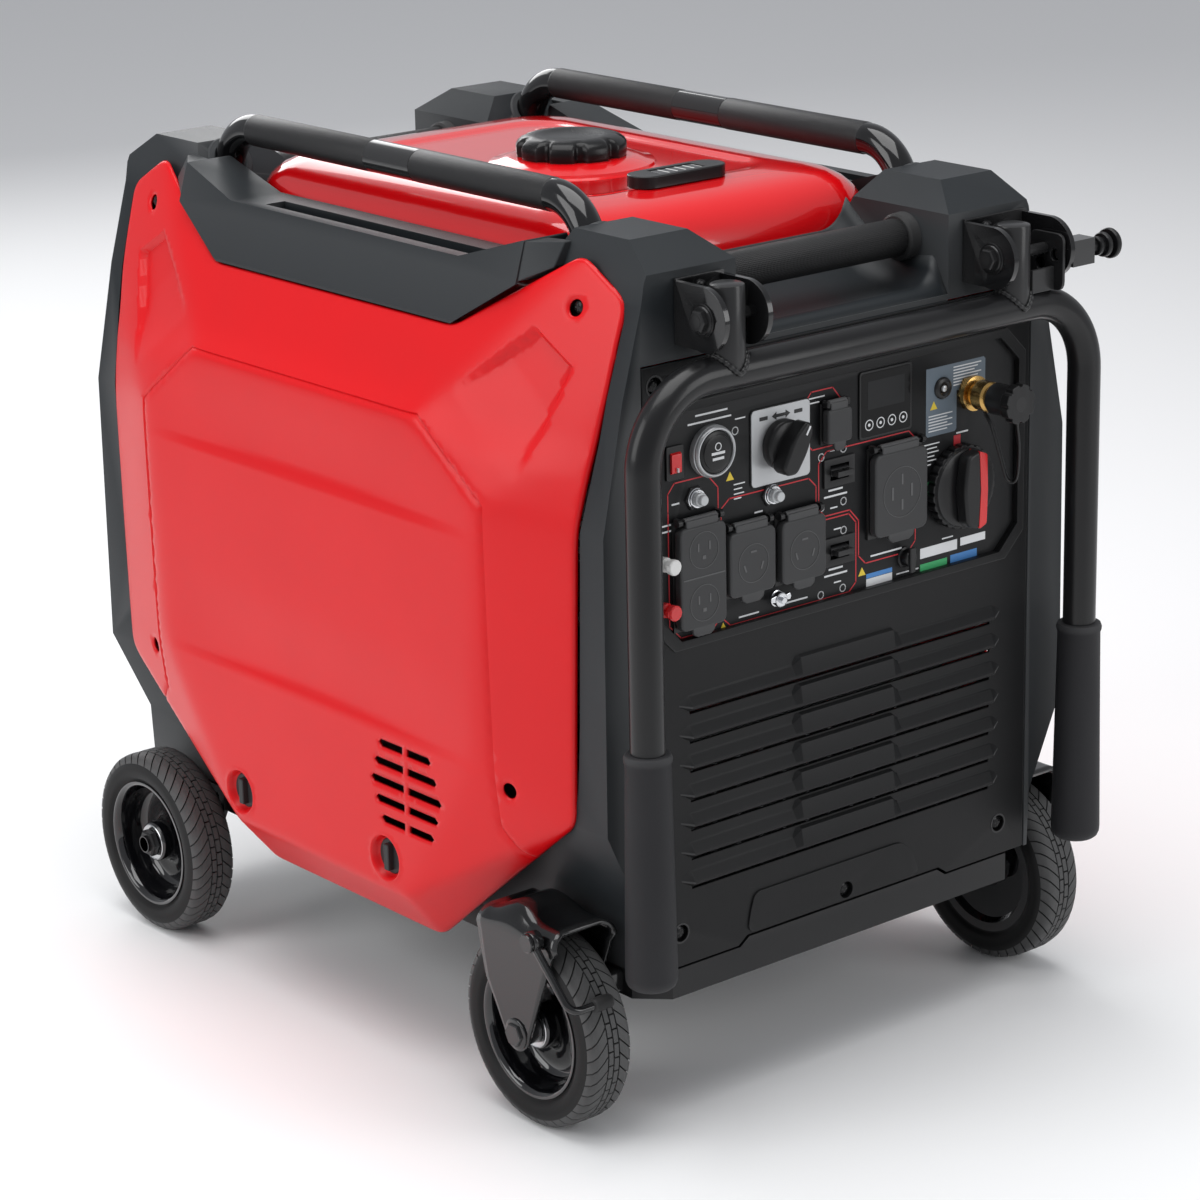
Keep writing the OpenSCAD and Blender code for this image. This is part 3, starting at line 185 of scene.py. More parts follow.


# The seventh setting is the strength of the painted edge highlight from the skin group.
def finish(name, colour, roughness, drift=0.12, spread=0.1, grain=1400.0, depth=0.12,
           painted_highlight=0.04, metallic=0.0, coat=0.0, coat_roughness=0.08, specular=0.25):
    """A material whose colour, polish and tooth come from the skin group."""
    material = bpy.data.materials.new(name)
    material.use_nodes = True
    tree = material.node_tree
    shader = tree.nodes["Principled BSDF"]
    cover = wire(tree, "ShaderNodeGroup", {}, node_tree=skin)
    values = ((*colour, 1), drift, roughness, spread, grain, depth, painted_highlight)
    for socket, value in zip(cover.inputs, values):
        socket.default_value = value
    tree.links.new(cover.outputs["Colour"], shader.inputs["Base Color"])
    tree.links.new(cover.outputs["Roughness"], shader.inputs["Roughness"])
    tree.links.new(cover.outputs["Normal"], shader.inputs["Normal"])
    shader.inputs["Metallic"].default_value = metallic
    shader.inputs["Coat Weight"].default_value = coat
    shader.inputs["Coat Roughness"].default_value = coat_roughness
    shader.inputs["Specular IOR Level"].default_value = specular
    return material


def fit(piece, body, slot, *nodes):
    """Fastens a finished piece to its body and hides the structural parts it stands in for."""
    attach(piece, body)
    if nodes:
        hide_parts(*nodes)
    return piece


def show(name, mesh, material, smooth_to=35.0):
    """Turns a mesh into an object in the scene, smooth up to a fold of so many degrees."""
    mesh.materials.clear()
    mesh.materials.append(material)
    mesh.shade_smooth()
    mesh.set_sharp_from_angle(angle=math.radians(smooth_to))
    piece = bpy.data.objects.new(name, mesh)
    bpy.context.scene.collection.objects.link(piece)
    return piece


def as_mesh(name, form):
    """Closes off a bmesh: welds it, turns its faces outward and hands back a mesh."""
    bmesh.ops.remove_doubles(form, verts=form.verts, dist=1e-6)
    bmesh.ops.recalc_face_normals(form, faces=form.faces)
    mesh = bpy.data.meshes.new(name)
    form.to_mesh(mesh)
    form.free()
    return mesh


def ease_edges(piece, width, segments=2, angle=30.0):
    """Rounds a piece's sharp edges, and keeps its flats flat in the shading."""
    bevel = piece.modifiers.new("eased_edges", "BEVEL")
    bevel.width = width
    bevel.segments = segments
    bevel.limit_method = "ANGLE"
    bevel.angle_limit = math.radians(angle)
    bevel.harden_normals = True
    piece.data.shade_smooth()
    return piece


def eased_copy(name, node, material, width, segments=2):
    """A welded copy of a structural part, with its edges rounded as they are pressed or moulded."""
    form = bmesh.new()
    form.from_mesh(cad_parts[node].data)
    bmesh.ops.remove_doubles(form, verts=form.verts, dist=5e-6)
    bmesh.ops.dissolve_limit(form, angle_limit=math.radians(0.5), verts=form.verts, edges=form.edges)
    mesh = bpy.data.meshes.new(name)
    form.to_mesh(mesh)
    form.free()
    return ease_edges(show(name, mesh, material), width, segments)


tray_coat = finish("tray_coat", (0.006, 0.006, 0.0066), 0.40, grain=900.0, depth=0.25, painted_highlight=0.05)
fit(eased_copy("base_tray_sheet", "base_tray", tray_coat, 0.0012), "chassis", "tray_steel", "base_tray")

# ---- Power unit ----
# Behind the covers: a cast alloy engine, its muffler, a stator with its magnet rotor,
# the inverter with its fins, and a sealed battery. They bolt down to the tray.
cast = finish("cast_alloy", (0.42, 0.43, 0.44), 0.5, grain=500.0, depth=0.5, metallic=0.85)
heat_steel = finish("heat_blued_steel", (0.28, 0.25, 0.22), 0.45, drift=0.5, metallic=0.9)
laminated = finish("laminated_core", (0.33, 0.2, 0.1), 0.4, grain=300.0, depth=0.4, metallic=0.7)
rotor_steel = finish("machined_steel", (0.5, 0.5, 0.51), 0.25, grain=260.0, depth=0.2, metallic=1.0)
case_black = finish("battery_case", (0.02, 0.02, 0.022), 0.5)


def coat_node(node, material):
    """Gives a structural part its real finish."""
    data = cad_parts[node].data
    data.materials.clear()
    data.materials.append(material)


for node, material in (("engine_block", cast), ("muffler", heat_steel), ("alternator_stator", laminated),
                       ("rotor", rotor_steel), ("inverter_unit", cast), ("battery", case_black)):
    coat_node(node, material)

# ---- Side panels ----
# Each is one injection-moulded red panel, satin, 3 mm thick. It has an engraved shield
# line, two scooped highlights, pockets in its upper corners, and slots for air.
red_satin = finish("red_moulding", (0.64, 0.002, 0.005), 0.32, drift=0.05, grain=1700.0,
                   depth=0.16, painted_highlight=0.0, coat=0.06, coat_roughness=0.2, specular=0.26)
panel_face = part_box("right_side_panel")[1].x
top_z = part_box("front_surround")[1].z
panel_wall = 0.003
# Rim and raised face, as inset from the face, inset from the cover's face, and height.
rim = [(0.071, 0.070, top_z - 0.015), (0.070, 0.017, top_z - 0.045), (0.049, 0.020, top_z - 0.119),
       (0.027, 0.032, top_z - 0.225), (0.024, 0.039, base_z + 0.159), (0.039, 0.242, base_z - 0.002)]
raised = [(0.0, 0.204, top_z - 0.157), (0.0, 0.122, top_z - 0.215),
          (0.0, 0.138, base_z + 0.191), (0.0, 0.239, base_z + 0.046)]
notch_y, notch_z = half_len - 0.196, top_z - 0.087
peak_y, peak_z = half_len - 0.070, top_z - 0.015
boss_places = [(half_len - 0.065, top_z - 0.055), (half_len - 0.104, base_z + 0.176)]
lock_places = [(-0.100, base_z + 0.073), (0.120, base_z + 0.073)]
vent_middle = (-0.1335, base_z + 0.1435)
vent_reach = (0.037, 0.044, 0.050, 0.044, 0.037)


def flank_planes():
    """The flat faces of the panel's form, as X = a + b * Y + c * Z."""
    form = bmesh.new()
    for inset_x, inset_y, z in rim + raised:
        for side in (-1, 1):
            form.verts.new((panel_face - inset_x, side * (half_len - inset_y), z))
            form.verts.new((0.0, side * (half_len - inset_y), z))
    bmesh.ops.convex_hull(form, input=form.verts)
    planes = []
    for face in form.faces:
        face.normal_update()
        n, p = face.normal, face.verts[0].co
        if n.x > 0.15:
            planes.append((n.dot(p) / n.x, -n.y / n.x, -n.z / n.x))
    form.free()
    kept = []
    for plane in planes:
        if all(max(abs(a - b) for a, b in zip(plane, other)) > 0.004 for other in kept):
            kept.append(plane)
    return np.array(kept)


def to_segment(points, a, b):
    """Distance of each point from a line between two points, and how far along it lies."""
    a, b = np.array(a), np.array(b)
    along = np.clip(((points - a) @ (b - a)) / ((b - a) @ (b - a)), 0, 1)
    return np.linalg.norm(points - a - along[:, None] * (b - a), axis=1), along


def to_outline(points, outline):
    """Distance of each point from a closed outline."""
    return np.min([to_segment(points, a, b)[0] for a, b in zip(outline, outline[1:] + outline[:1])], axis=0)


def inside(points, outline):
    """Which points lie within a closed outline."""
    y, z = points[:, 0], points[:, 1]
    found = np.zeros(len(points), bool)
    for (y0, z0), (y1, z1) in zip(outline, outline[1:] + outline[:1]):
        crosses = (z0 > z) != (z1 > z)
        rise = np.where(z1 == z0, 1e-12, z1 - z0)
        found ^= crosses & (y < (y1 - y0) * (z - z0) / rise + y0)
    return found


def smooth_step(t):
    t = np.clip(t, 0, 1)
    return t * t * (3 - 2 * t)


def rounded(outline, radius, steps=5):
    """An outline with its corners turned to arcs."""
    points = []
    for before, corner, after in zip(outline[-1:] + outline[:-1], outline, outline[1:] + outline[:1]):
        c = Vector(corner)
        u, v = (Vector(before) - c), (Vector(after) - c)
        reach = min(radius, u.length * 0.45, v.length * 0.45)
        p, q = c + u.normalized() * reach, c + v.normalized() * reach
        for i in range(steps + 1):
            t = i / steps
            points.append(tuple((1 - t) ** 2 * p + 2 * t * (1 - t) * c + t * t * q))
    return points


def spaced(outline, step):
    """Points at even spacing along a closed outline, its corners kept."""
    points = []
    for a, b in zip(outline, outline[1:] + outline[:1]):
        count = max(1, round(math.dist(a, b) / step))
        points += [tuple(np.array(a) + (np.array(b) - np.array(a)) * i / count) for i in range(count)]
    return points


def grown(outline, by):
    """An outline moved outward by a distance, by its corners' mean normals."""
    turned = sum(a[0] * b[1] - b[0] * a[1] for a, b in zip(outline, outline[1:] + outline[:1])) < 0
    points = []
    for before, corner, after in zip(outline[-1:] + outline[:-1], outline, outline[1:] + outline[:1]):
        u = (Vector(corner) - Vector(before)).normalized()
        v = (Vector(after) - Vector(corner)).normalized()
        n = (Vector((u.y, -u.x)) + Vector((v.y, -v.x)))
        n = n.normalized() / max(0.5, n.length / 2)
        points.append(tuple(Vector(corner) + n * (-by if turned else by)))
    return points


panel_rim = rounded([(peak_y, peak_z)] + [(half_len - y, z) for _, y, z in rim[1:]]
                    + [(-half_len + y, z) for _, y, z in rim[:0:-1]] + [(-peak_y, peak_z),
                    (-notch_y, notch_z), (notch_y, notch_z)], 0.012, 6)
# The shield's line runs round the face and out to the lower corners of the front edge.
shield = [(0.276, 0.223), (0.249, 0.252), (0.247, 0.528), (0.164, 0.588), (-0.164, 0.588),
          (-0.247, 0.528), (-0.249, 0.252), (-0.276, 0.223)]
pocket = [(0.190, 0.612), (0.268, 0.671), (0.312, 0.646), (0.276, 0.548)]


def slot_outline(y, z, outward, reach, half=0.0037, gap=0.0026):
    """One air slot: square at the middle rib and pointed at its outer end."""
    return [(y + outward * gap, z - half), (y + outward * (reach - half), z - half),
            (y + outward * reach, z), (y + outward * (reach - half), z + half),
            (y + outward * gap, z + half)]


def circle(centre, radius, count):
    return [(centre[0] + radius * math.cos(2 * math.pi * i / count),
             centre[1] + radius * math.sin(2 * math.pi * i / count)) for i in range(count)]


openings = [slot_outline(vent_middle[0], vent_middle[1] + (2 - row) * 0.0172, side, reach)
            for row, reach in enumerate(vent_reach) for side in (-1, 1)]
openings += [circle((s * y, z), 0.0066, 20) for y, z in boss_places for s in (-1, 1)]
openings += [circle(p, 0.0150, 32) for p in lock_places]
planes = flank_planes()


def panel_depth(points):
    """How far the panel's skin stands out in X at each Y and Z."""
    y, z = points[:, 0], points[:, 1]
    fold = 0.0013
    heights = planes[:, :1] + planes[:, 1:2] * y + planes[:, 2:3] * z
    x = -fold * np.log(np.sum(np.exp(-(heights - panel_face) / fold), axis=0))
    x = panel_face + np.minimum(x, 0)
    # The upper slope is hollow: it falls away fast from the face, then more slowly.
    fall = panel_face - x
    x -= 0.005 * smooth_step((z - 0.56) / 0.04) * (fall / 0.012) * np.exp(1 - fall / 0.012)
    for low, span in ((0.4985, 0.0095), (0.3005, 0.0125)):
        bow = np.clip(1 - (y / 0.238) ** 2, 0, None)
        step = smooth_step((z - low) / np.maximum(span * bow, 1e-5)) * (z > low)
        x -= 0.0034 * bow * step * (1 - smooth_step((z - low - span) / 0.075))
    for side in (-1, 1):
        edge = [(side * a, b) for a, b in pocket]
        walls = np.min([to_segment(points, edge[i], edge[i + 1])[0] for i in range(3)], axis=0)
        deep = np.minimum(walls, 0.0060) * np.clip(to_segment(points, edge[3], edge[0])[0] / 0.055, 0, 1)
        x -= np.where(inside(points, edge), deep, 0)
    groove = np.min([to_segment(points, a, b)[0] for a, b in zip(shield, shield[1:])], axis=0)
    x -= 0.0017 * np.clip(1 - groove / 0.0015, 0, 1)
    lip = 0.0030
    border = np.clip(to_outline(points, panel_rim), 0, lip)
    x -= lip - np.sqrt(lip ** 2 - (lip - border) ** 2)
    for centre in lock_places:
        away = np.linalg.norm(points - np.array(centre), axis=1)
        x -= 0.0075 * (1 - smooth_step((away - 0.0155) / 0.0050))
        x += 0.0007 * np.clip(1 - np.abs(away - 0.0212) / 0.0016, 0, 1)
    for hole in openings[10:14]:
        away = np.linalg.norm(points - np.mean(hole, axis=0), axis=1)
        x -= 0.0016 * (1 - smooth_step((away - 0.0066) / 0.0022))
    return x


def panel_skin(name, side):
    """Lays a fine net of points over the outline, lifts it to its depth, and thickens it."""
    chains = [(spaced(panel_rim, 0.006), True)]
    chains += [(spaced(grown(panel_rim, -inset), 0.006), True) for inset in (0.0006, 0.0016, 0.0030)]
    chains += [(hole if len(hole) > 6 else spaced(hole, 0.004), True) for hole in openings]
    chains += [(circle(np.mean(h, axis=0), r, len(h)), True) for h in openings[10:]
               for r in ((0.0074, 0.0088) if len(h) == 20 else (0.0163, 0.0178, 0.0192, 0.0205, 0.0212,
                                                                0.0228))]
    for offset in (-0.0016, 0.0, 0.0016):
        line = [(a, b + offset) if i in (3, 4) else (a + math.copysign(offset, a), b)
                for i, (a, b) in enumerate(shield)]
        inner = [np.array(p) + (np.array(q) - np.array(p)) * t for p, q in zip(line, line[1:])
                 for t in np.arange(0, 1, 0.006 / math.dist(p, q))]
        chains.append(([tuple(p) for p in inner] + [line[-1]], False))
    for s in (-1, 1):
        for outline in (pocket, grown(pocket, -0.006)):
            chains.append((spaced([(s * a, b) for a, b in outline], 0.004), True))
    points, links = [], []
    for chain, closed in chains:
        start = len(points)
        points += chain
        links += [(start + i, start + i + 1) for i in range(len(chain) - 1)]
        if closed:
            links.append((start + len(chain) - 1, start))
    fixed = np.array(points)
    ys = np.arange(-half_len, half_len, 0.0052)
    zs = np.arange(base_z - 0.004, top_z, 0.0046)
    net = np.array([(a + (0.0026 if j % 2 else 0), b) for j, b in enumerate(zs) for a in ys])
    net = net[inside(net, panel_rim)]
    rows = [net[i:i + 400] for i in range(0, len(net), 400)]
    clear = np.concatenate([np.linalg.norm(r[:, None] - fixed[None], axis=2).min(axis=1) for r in rows])
    net = net[clear > 0.0021]
    points += [tuple(p) for p in net]
    flat, _, faces, *_ = delaunay_2d_cdt([Vector(p) for p in points], links, [], 0, 1e-7)
    flat = np.array([tuple(p) for p in flat])
    middles = np.array([flat[list(f)].mean(axis=0) for f in faces])
    keep = inside(middles, panel_rim)
    for hole in openings:
        keep &= ~inside(middles, hole)
    faces = [f for f, k in zip(faces, keep) if k]
    x = panel_depth(flat) * side
    form = bmesh.new()
    corners = [form.verts.new((a, *p)) for a, p in zip(x, flat)]
    for face in faces:
        form.faces.new([corners[i] for i in face])
    loose = [v for v in form.verts if not v.link_faces]
    bmesh.ops.delete(form, geom=loose, context="VERTS")
    mesh = as_mesh(name, form)
    if mesh.polygons[len(mesh.polygons) // 2].normal.x * side < 0:
        mesh.flip_normals()
    piece = show(name, mesh, red_satin, 50)
    wall = piece.modifiers.new("wall", "SOLIDIFY")
    wall.thickness = panel_wall
    wall.offset = -1
    return piece


fit(panel_skin("left_panel_moulding", -1), "chassis", "red_plastic", "left_side_panel")
fit(panel_skin("right_panel_moulding", 1), "chassis", "red_plastic", "right_side_panel")

# ---- Quarter-turn locks ----
# A black moulded plug with a raised grip bar sits at the bottom of each round recess.
lock_black = finish("lock_plug", (0.016, 0.016, 0.017), 0.45)


def lathe(profile, centre, axis, count=64):
    """Turns a closed profile of (radius, distance along the axis) about a line through a point."""
    form = bmesh.new()
    spin = Vector(axis).normalized()
    aside = Vector((0, 0, 1)) if abs(spin.z) < 0.9 else Vector((1, 0, 0))
    across = spin.cross(aside).normalized()
    other = spin.cross(across)
    rings = []
    for i in range(count):
        a = 2 * math.pi * i / count
        out = across * math.cos(a) + other * math.sin(a)
        rings.append([form.verts.new(Vector(centre) + out * r + spin * h) for r, h in profile])
    for i, ring in enumerate(rings):
        after = rings[(i + 1) % count]
        for j in range(len(profile)):
            k = (j + 1) % len(profile)
            form.faces.new((ring[j], ring[k], after[k], after[j]))
    return form


def loft(form, rings):
    """Joins rings of as many vertices with walls, and closes the first and the last."""
    for a, b in zip(rings, rings[1:]):
        for i in range(len(a)):
            j = (i + 1) % len(a)
            form.faces.new((a[i], a[j], b[j], b[i]))
    form.faces.new(rings[0])
    form.faces.new(rings[-1])


def turned(name, profile, centre, axis, material, count=64, smooth_to=32.0):
    """A turned piece with its doubled points on the axis welded shut."""
    form = lathe(profile, centre, axis, count)
    bmesh.ops.remove_doubles(form, verts=form.verts, dist=1e-6)
    bmesh.ops.dissolve_degenerate(form, edges=form.edges, dist=1e-7)
    return show(name, as_mesh(name, form), material, smooth_to)


def merged(name, pieces):
    """Welds finished pieces of one make into one mesh, with their eased edges applied."""
    form = bmesh.new()
    view = bpy.context.evaluated_depsgraph_get()
    materials = []
    for piece in pieces:
        view.update()
        mesh = bpy.data.meshes.new_from_object(piece.evaluated_get(view))
        material = piece.data.materials[0]
        if material not in materials:
            materials.append(material)
        start = len(form.faces)
        form.from_mesh(mesh)
        form.faces.ensure_lookup_table()
        for face in form.faces[start:]:
            face.material_index = materials.index(material)
        bpy.data.objects.remove(piece)
    mesh = bpy.data.meshes.new(name)
    form.to_mesh(mesh)
    form.free()
    for material in materials:
        mesh.materials.append(material)
    whole = bpy.data.objects.new(name, mesh)
    bpy.context.scene.collection.objects.link(whole)
    return whole


def slab(name, outline, plane, low, high, material, edge=0.0008, segments=2):
    """An outline in two axes given thickness along the third: plane is X, Y or Z."""
    form = bmesh.new()
    turn = {"X": lambda a, b, c: (c, a, b), "Y": lambda a, b, c: (a, c, b),
            "Z": lambda a, b, c: (a, b, c)}[plane]
    ends = [[form.verts.new(turn(a, b, c)) for a, b in outline] for c in (low, high)]
    form.faces.new(ends[0])
    form.faces.new(ends[1])
    for i in range(len(outline)):
        j = (i + 1) % len(outline)
        form.faces.new((ends[0][i], ends[0][j], ends[1][j], ends[1][i]))
    piece = show(name, as_mesh(name, form), material)
    return ease_edges(piece, edge, segments) if edge else piece


plugs = []
for side in (-1, 1):
    for y, z in lock_places:
        seat = side * (panel_depth(np.array([(y, z)]))[0] - 0.0045)
        plugs.append(turned("plug", [(0, 0), (0.0165, 0), (0.0165, 0.0045), (0.0150, 0.0060), (0, 0.0060)],
                            (seat, y, z), (side, 0, 0), lock_black, 40))
        bar = [(y + a, z + b) for a, b in ((-0.0035, -0.012), (0.0035, -0.012),
                                           (0.0035, 0.012), (-0.0035, 0.012))]
        near, far = sorted((seat + side * 0.004, seat + side * 0.0115))
        plugs.append(slab("bar", bar, "X", near, far, lock_black, 0.0012))
fit(merged("quarter_turn_locks", plugs), "chassis", "black_plastic")

# ---- Corner surrounds ----
# Charcoal mouldings that wrap the two ends and rise into the four towers. A separate
# saddle is moulded in between the towers, hollowed out for a hand under the cross handle.
charcoal = finish("charcoal_moulding", (0.0145, 0.0175, 0.0200), 0.42, drift=0.1, grain=1500.0,
                  depth=0.28, painted_highlight=0.08, specular=0.22)
for end in ("front", "rear"):
    fit(eased_copy(end + "_surround_moulding", end + "_surround", charcoal, 0.0026, 3),
        "chassis", "charcoal_plastic", end + "_surround")

cross_x = 0.118
saddle_line = [(0.3665, 0.6490), (0.3662, 0.6560), (0.3625, 0.6608), (0.3540, 0.6632), (0.3400, 0.6600),
               (0.3150, 0.6590), (0.2900, 0.6640), (0.2680, 0.6760), (0.2500, 0.6900), (0.2430, 0.6960)]


def curve_through(points, per_span=6):
    """A smooth line through the points, by Catmull and Rom's rule."""
    ends = [2 * Vector(points[0]) - Vector(points[1]), 2 * Vector(points[-1]) - Vector(points[-2])]
    p = [ends[0]] + [Vector(q) for q in points] + [ends[1]]
    line = []
    for i in range(1, len(p) - 2):
        for j in range(per_span):
            t = j / per_span
            line.append(0.5 * (2 * p[i] + t * (p[i + 1] - p[i - 1])
                               + t * t * (2 * p[i - 1] - 5 * p[i] + 4 * p[i + 1] - p[i + 2])
                               + t ** 3 * (3 * p[i] - p[i - 1] - 3 * p[i + 1] + p[i + 2])))
    return line + [p[-2]]


def grid_sheet(name, rows, material, thickness, end=1, smooth_to=40.0):
    """A sheet through rows of points, given a thickness below it."""
    form = bmesh.new()
    net = [[form.verts.new((x, -y * end, z) if end > 0 else (-x, y, z)) for x, y, z in row] for row in rows]
    for a, b in zip(net, net[1:]):
        for i in range(len(a) - 1):
            form.faces.new((a[i], b[i], b[i + 1], a[i + 1]))
    bmesh.ops.recalc_face_normals(form, faces=form.faces)
    mesh = bpy.data.meshes.new(name)
    form.to_mesh(mesh)
    form.free()
    if sum(p.normal.z for p in mesh.polygons) < 0:
        mesh.flip_normals()
    piece = show(name, mesh, material, smooth_to)
    wall = piece.modifiers.new("wall", "SOLIDIFY")
    wall.thickness = thickness
    wall.offset = -1
    return piece


for end, name in ((1, "front_saddle"), (-1, "rear_saddle")):
    cove = 0.030
    xs = sorted({round(s * x, 5) for s in (-1, 1) for x in
                 [0.0, 0.03, 0.06, 0.084] + [cross_x - cove * math.cos(a * math.pi / 20) for a in range(11)]})
    rows = []
    for y, z in curve_through(saddle_line, 4):
        line = []
        for x in xs:
            t = min(0.985, max(0.0, (abs(x) - cross_x + cove) / cove))
            line.append((x, y, z + cove * (1 - math.sqrt(1 - t * t)) * smooth_step(np.array((0.3663 - y) / 0.02))))
        rows.append(line)
    fit(grid_sheet(name, rows, charcoal, 0.003, end), "chassis", "charcoal_plastic")

# ---- Front and rear covers ----
# Black moulded end covers. Seven louvre blades are moulded across each, every one with
# a flared lip, pointed ends and a prouder middle. The front one frames the control panel.
cover_black = finish("black_moulding", (0.0082, 0.0083, 0.0088), 0.38, drift=0.1, grain=1500.0,
                     depth=0.3, painted_highlight=0.08, specular=0.18)
cover_x = panel_face - 0.071
cover_low = base_z + tray_rim + 0.0015
cover_top = top_z - 0.095
panel_half, panel_mid, panel_height, panel_cut = cover_x - 0.012, top_z - 0.231, 0.196, 0.022
louvre_count, louvre_pitch, louvre_low = 7, 0.0253, base_z + 0.097
blade_reach = cover_x - 0.034


def octagon(x, h, cut, middle):
    """A box outline with its four corners cut off."""
    return [(-x + cut, middle - h), (x - cut, middle - h), (x, middle - h + cut), (x, middle + h - cut),
            (x - cut, middle + h), (-x + cut, middle + h), (-x, middle + h - cut), (-x, middle - h + cut)]


def plate(name, outline, holes, front, back, material, edge=0.0006, end=1):
    """A flat plate in X and Z, with holes, between two depths in Y."""
    points, links = [], []
    for chain in [outline] + holes:
        start = len(points)
        points += [Vector(p) for p in chain]
        links += [(start + i, start + (i + 1) % len(chain)) for i in range(len(chain))]
    flat, _, faces, *_ = delaunay_2d_cdt(points, links, [], 0, 1e-7)
    flat = [tuple(p) for p in flat]
    middles = np.array([np.mean([flat[i] for i in f], axis=0) for f in faces])
    keep = inside(middles, outline)
    for hole in holes:
        keep &= ~inside(middles, hole)
    faces = [f for f, k in zip(faces, keep) if k]
    form = bmesh.new()
    near = [form.verts.new((x * end, -front * end, z)) for x, z in flat]
    far = [form.verts.new((x * end, -back * end, z)) for x, z in flat]
    count = {}
    for face in faces:
        form.faces.new([near[i] for i in face])
        form.faces.new([far[i] for i in reversed(face)])
        for i, j in zip(face, face[1:] + face[:1]):
            count[(i, j)] = True
    for i, j in count:
        if (j, i) not in count:
            form.faces.new((near[j], near[i], far[i], far[j]))
    loose = [v for v in form.verts if not v.link_faces]
    bmesh.ops.delete(form, geom=loose, context="VERTS")
    piece = show(name, as_mesh(name, form), material)
    return ease_edges(piece, edge, 2, 50.0) if edge else piece


def geometry_tree(name, inputs):
    """A Geometry Nodes tree with a geometry input and named inputs for its sizes."""
    tree = bpy.data.node_groups.new(name, "GeometryNodeTree")
    tree.interface.new_socket("Geometry", in_out="INPUT", socket_type="NodeSocketGeometry")
    for label, kind in inputs:
        tree.interface.new_socket(label, in_out="INPUT", socket_type=kind)
    tree.interface.new_socket("Geometry", in_out="OUTPUT", socket_type="NodeSocketGeometry")
    return tree, tree.nodes.new("NodeGroupInput"), tree.nodes.new("NodeGroupOutput")


INT, MATERIAL, OBJECT = "NodeSocketInt", "NodeSocketMaterial", "NodeSocketObject"

# A straight row: the piece itself is repeated Count times, a Step apart.
row_tree, row_in, row_out = geometry_tree("row_of", [("Count", INT), ("Step", VECTOR), ("Finish", MATERIAL)])
row_line = wire(row_tree, "GeometryNodeMeshLine", {
    "Count": row_in.outputs["Count"], "Offset": row_in.outputs["Step"]})
row_set = wire(row_tree, "GeometryNodeInstanceOnPoints", {
    "Points": row_line.outputs["Mesh"], "Instance": row_in.outputs["Geometry"]})
row_real = wire(row_tree, "GeometryNodeRealizeInstances", {"Geometry": row_set.outputs["Instances"]})
row_done = wire(row_tree, "GeometryNodeSetMaterial", {
    "Geometry": row_real.outputs["Geometry"], "Material": row_in.outputs["Finish"]})
row_tree.links.new(row_done.outputs["Geometry"], row_out.inputs["Geometry"])


def grow_tree(piece, tree, name, **values):
    """Runs a tree on a piece with its named inputs, and hands back the result as a plain mesh piece."""
    modifier = piece.modifiers.new("tree", "NODES")
    modifier.node_group = tree
    sockets = {s.name: s.identifier for s in tree.interface.items_tree if s.in_out == "INPUT"}
    for label, value in values.items():
        modifier[sockets[label.replace("_", " ")]] = value
    view = bpy.context.evaluated_depsgraph_get()
    view.update()
    mesh = bpy.data.meshes.new_from_object(piece.evaluated_get(view))
    piece.modifiers.remove(modifier)
    bpy.data.objects.remove(piece)
    made = bpy.data.objects.new(name, mesh)
    bpy.context.scene.collection.objects.link(made)
    return made


def blade(name, end):
    """One louvre blade, as cross-sections along X: pointed tips, flanks, and the prouder middle."""
    flank = [(-0.0022, 0.0195), (0.0006, 0.0100), (0.0056, 0.0026), (0.0056, 0.0004), (-0.0020, -0.0040)]
    middle = [(-0.0022, 0.0195), (0.0034, 0.0168), (0.0060, 0.0026), (0.0060, 0.0004), (-0.0020, -0.0040)]
    tip = [(-0.0022, 0.0120), (-0.0004, 0.0080), (-0.0002, 0.0046), (-0.0002, 0.0036), (-0.0022, 0.0020)]
    stations = [(-blade_reach, tip), (-blade_reach + 0.011, flank), (-0.061, flank), (-0.053, middle),
                (0.053, middle), (0.061, flank), (blade_reach - 0.011, flank), (blade_reach, tip)]
    form = bmesh.new()
    rings = [[form.verts.new((x * end, -(half_len + out) * end, louvre_low + rise)) for out, rise in section]
             for x, section in stations]
    loft(form, rings)
    piece = show(name, as_mesh(name, form), cover_black)
    return ease_edges(piece, 0.0006, 2, 12.0)


screw_places = [(0.0, base_z + 0.044)] + [(s * (cover_x - 0.033), base_z + 0.056) for s in (-1, 1)] \
    + [(s * (cover_x - 0.014), cover_top - 0.016) for s in (-1, 1)]


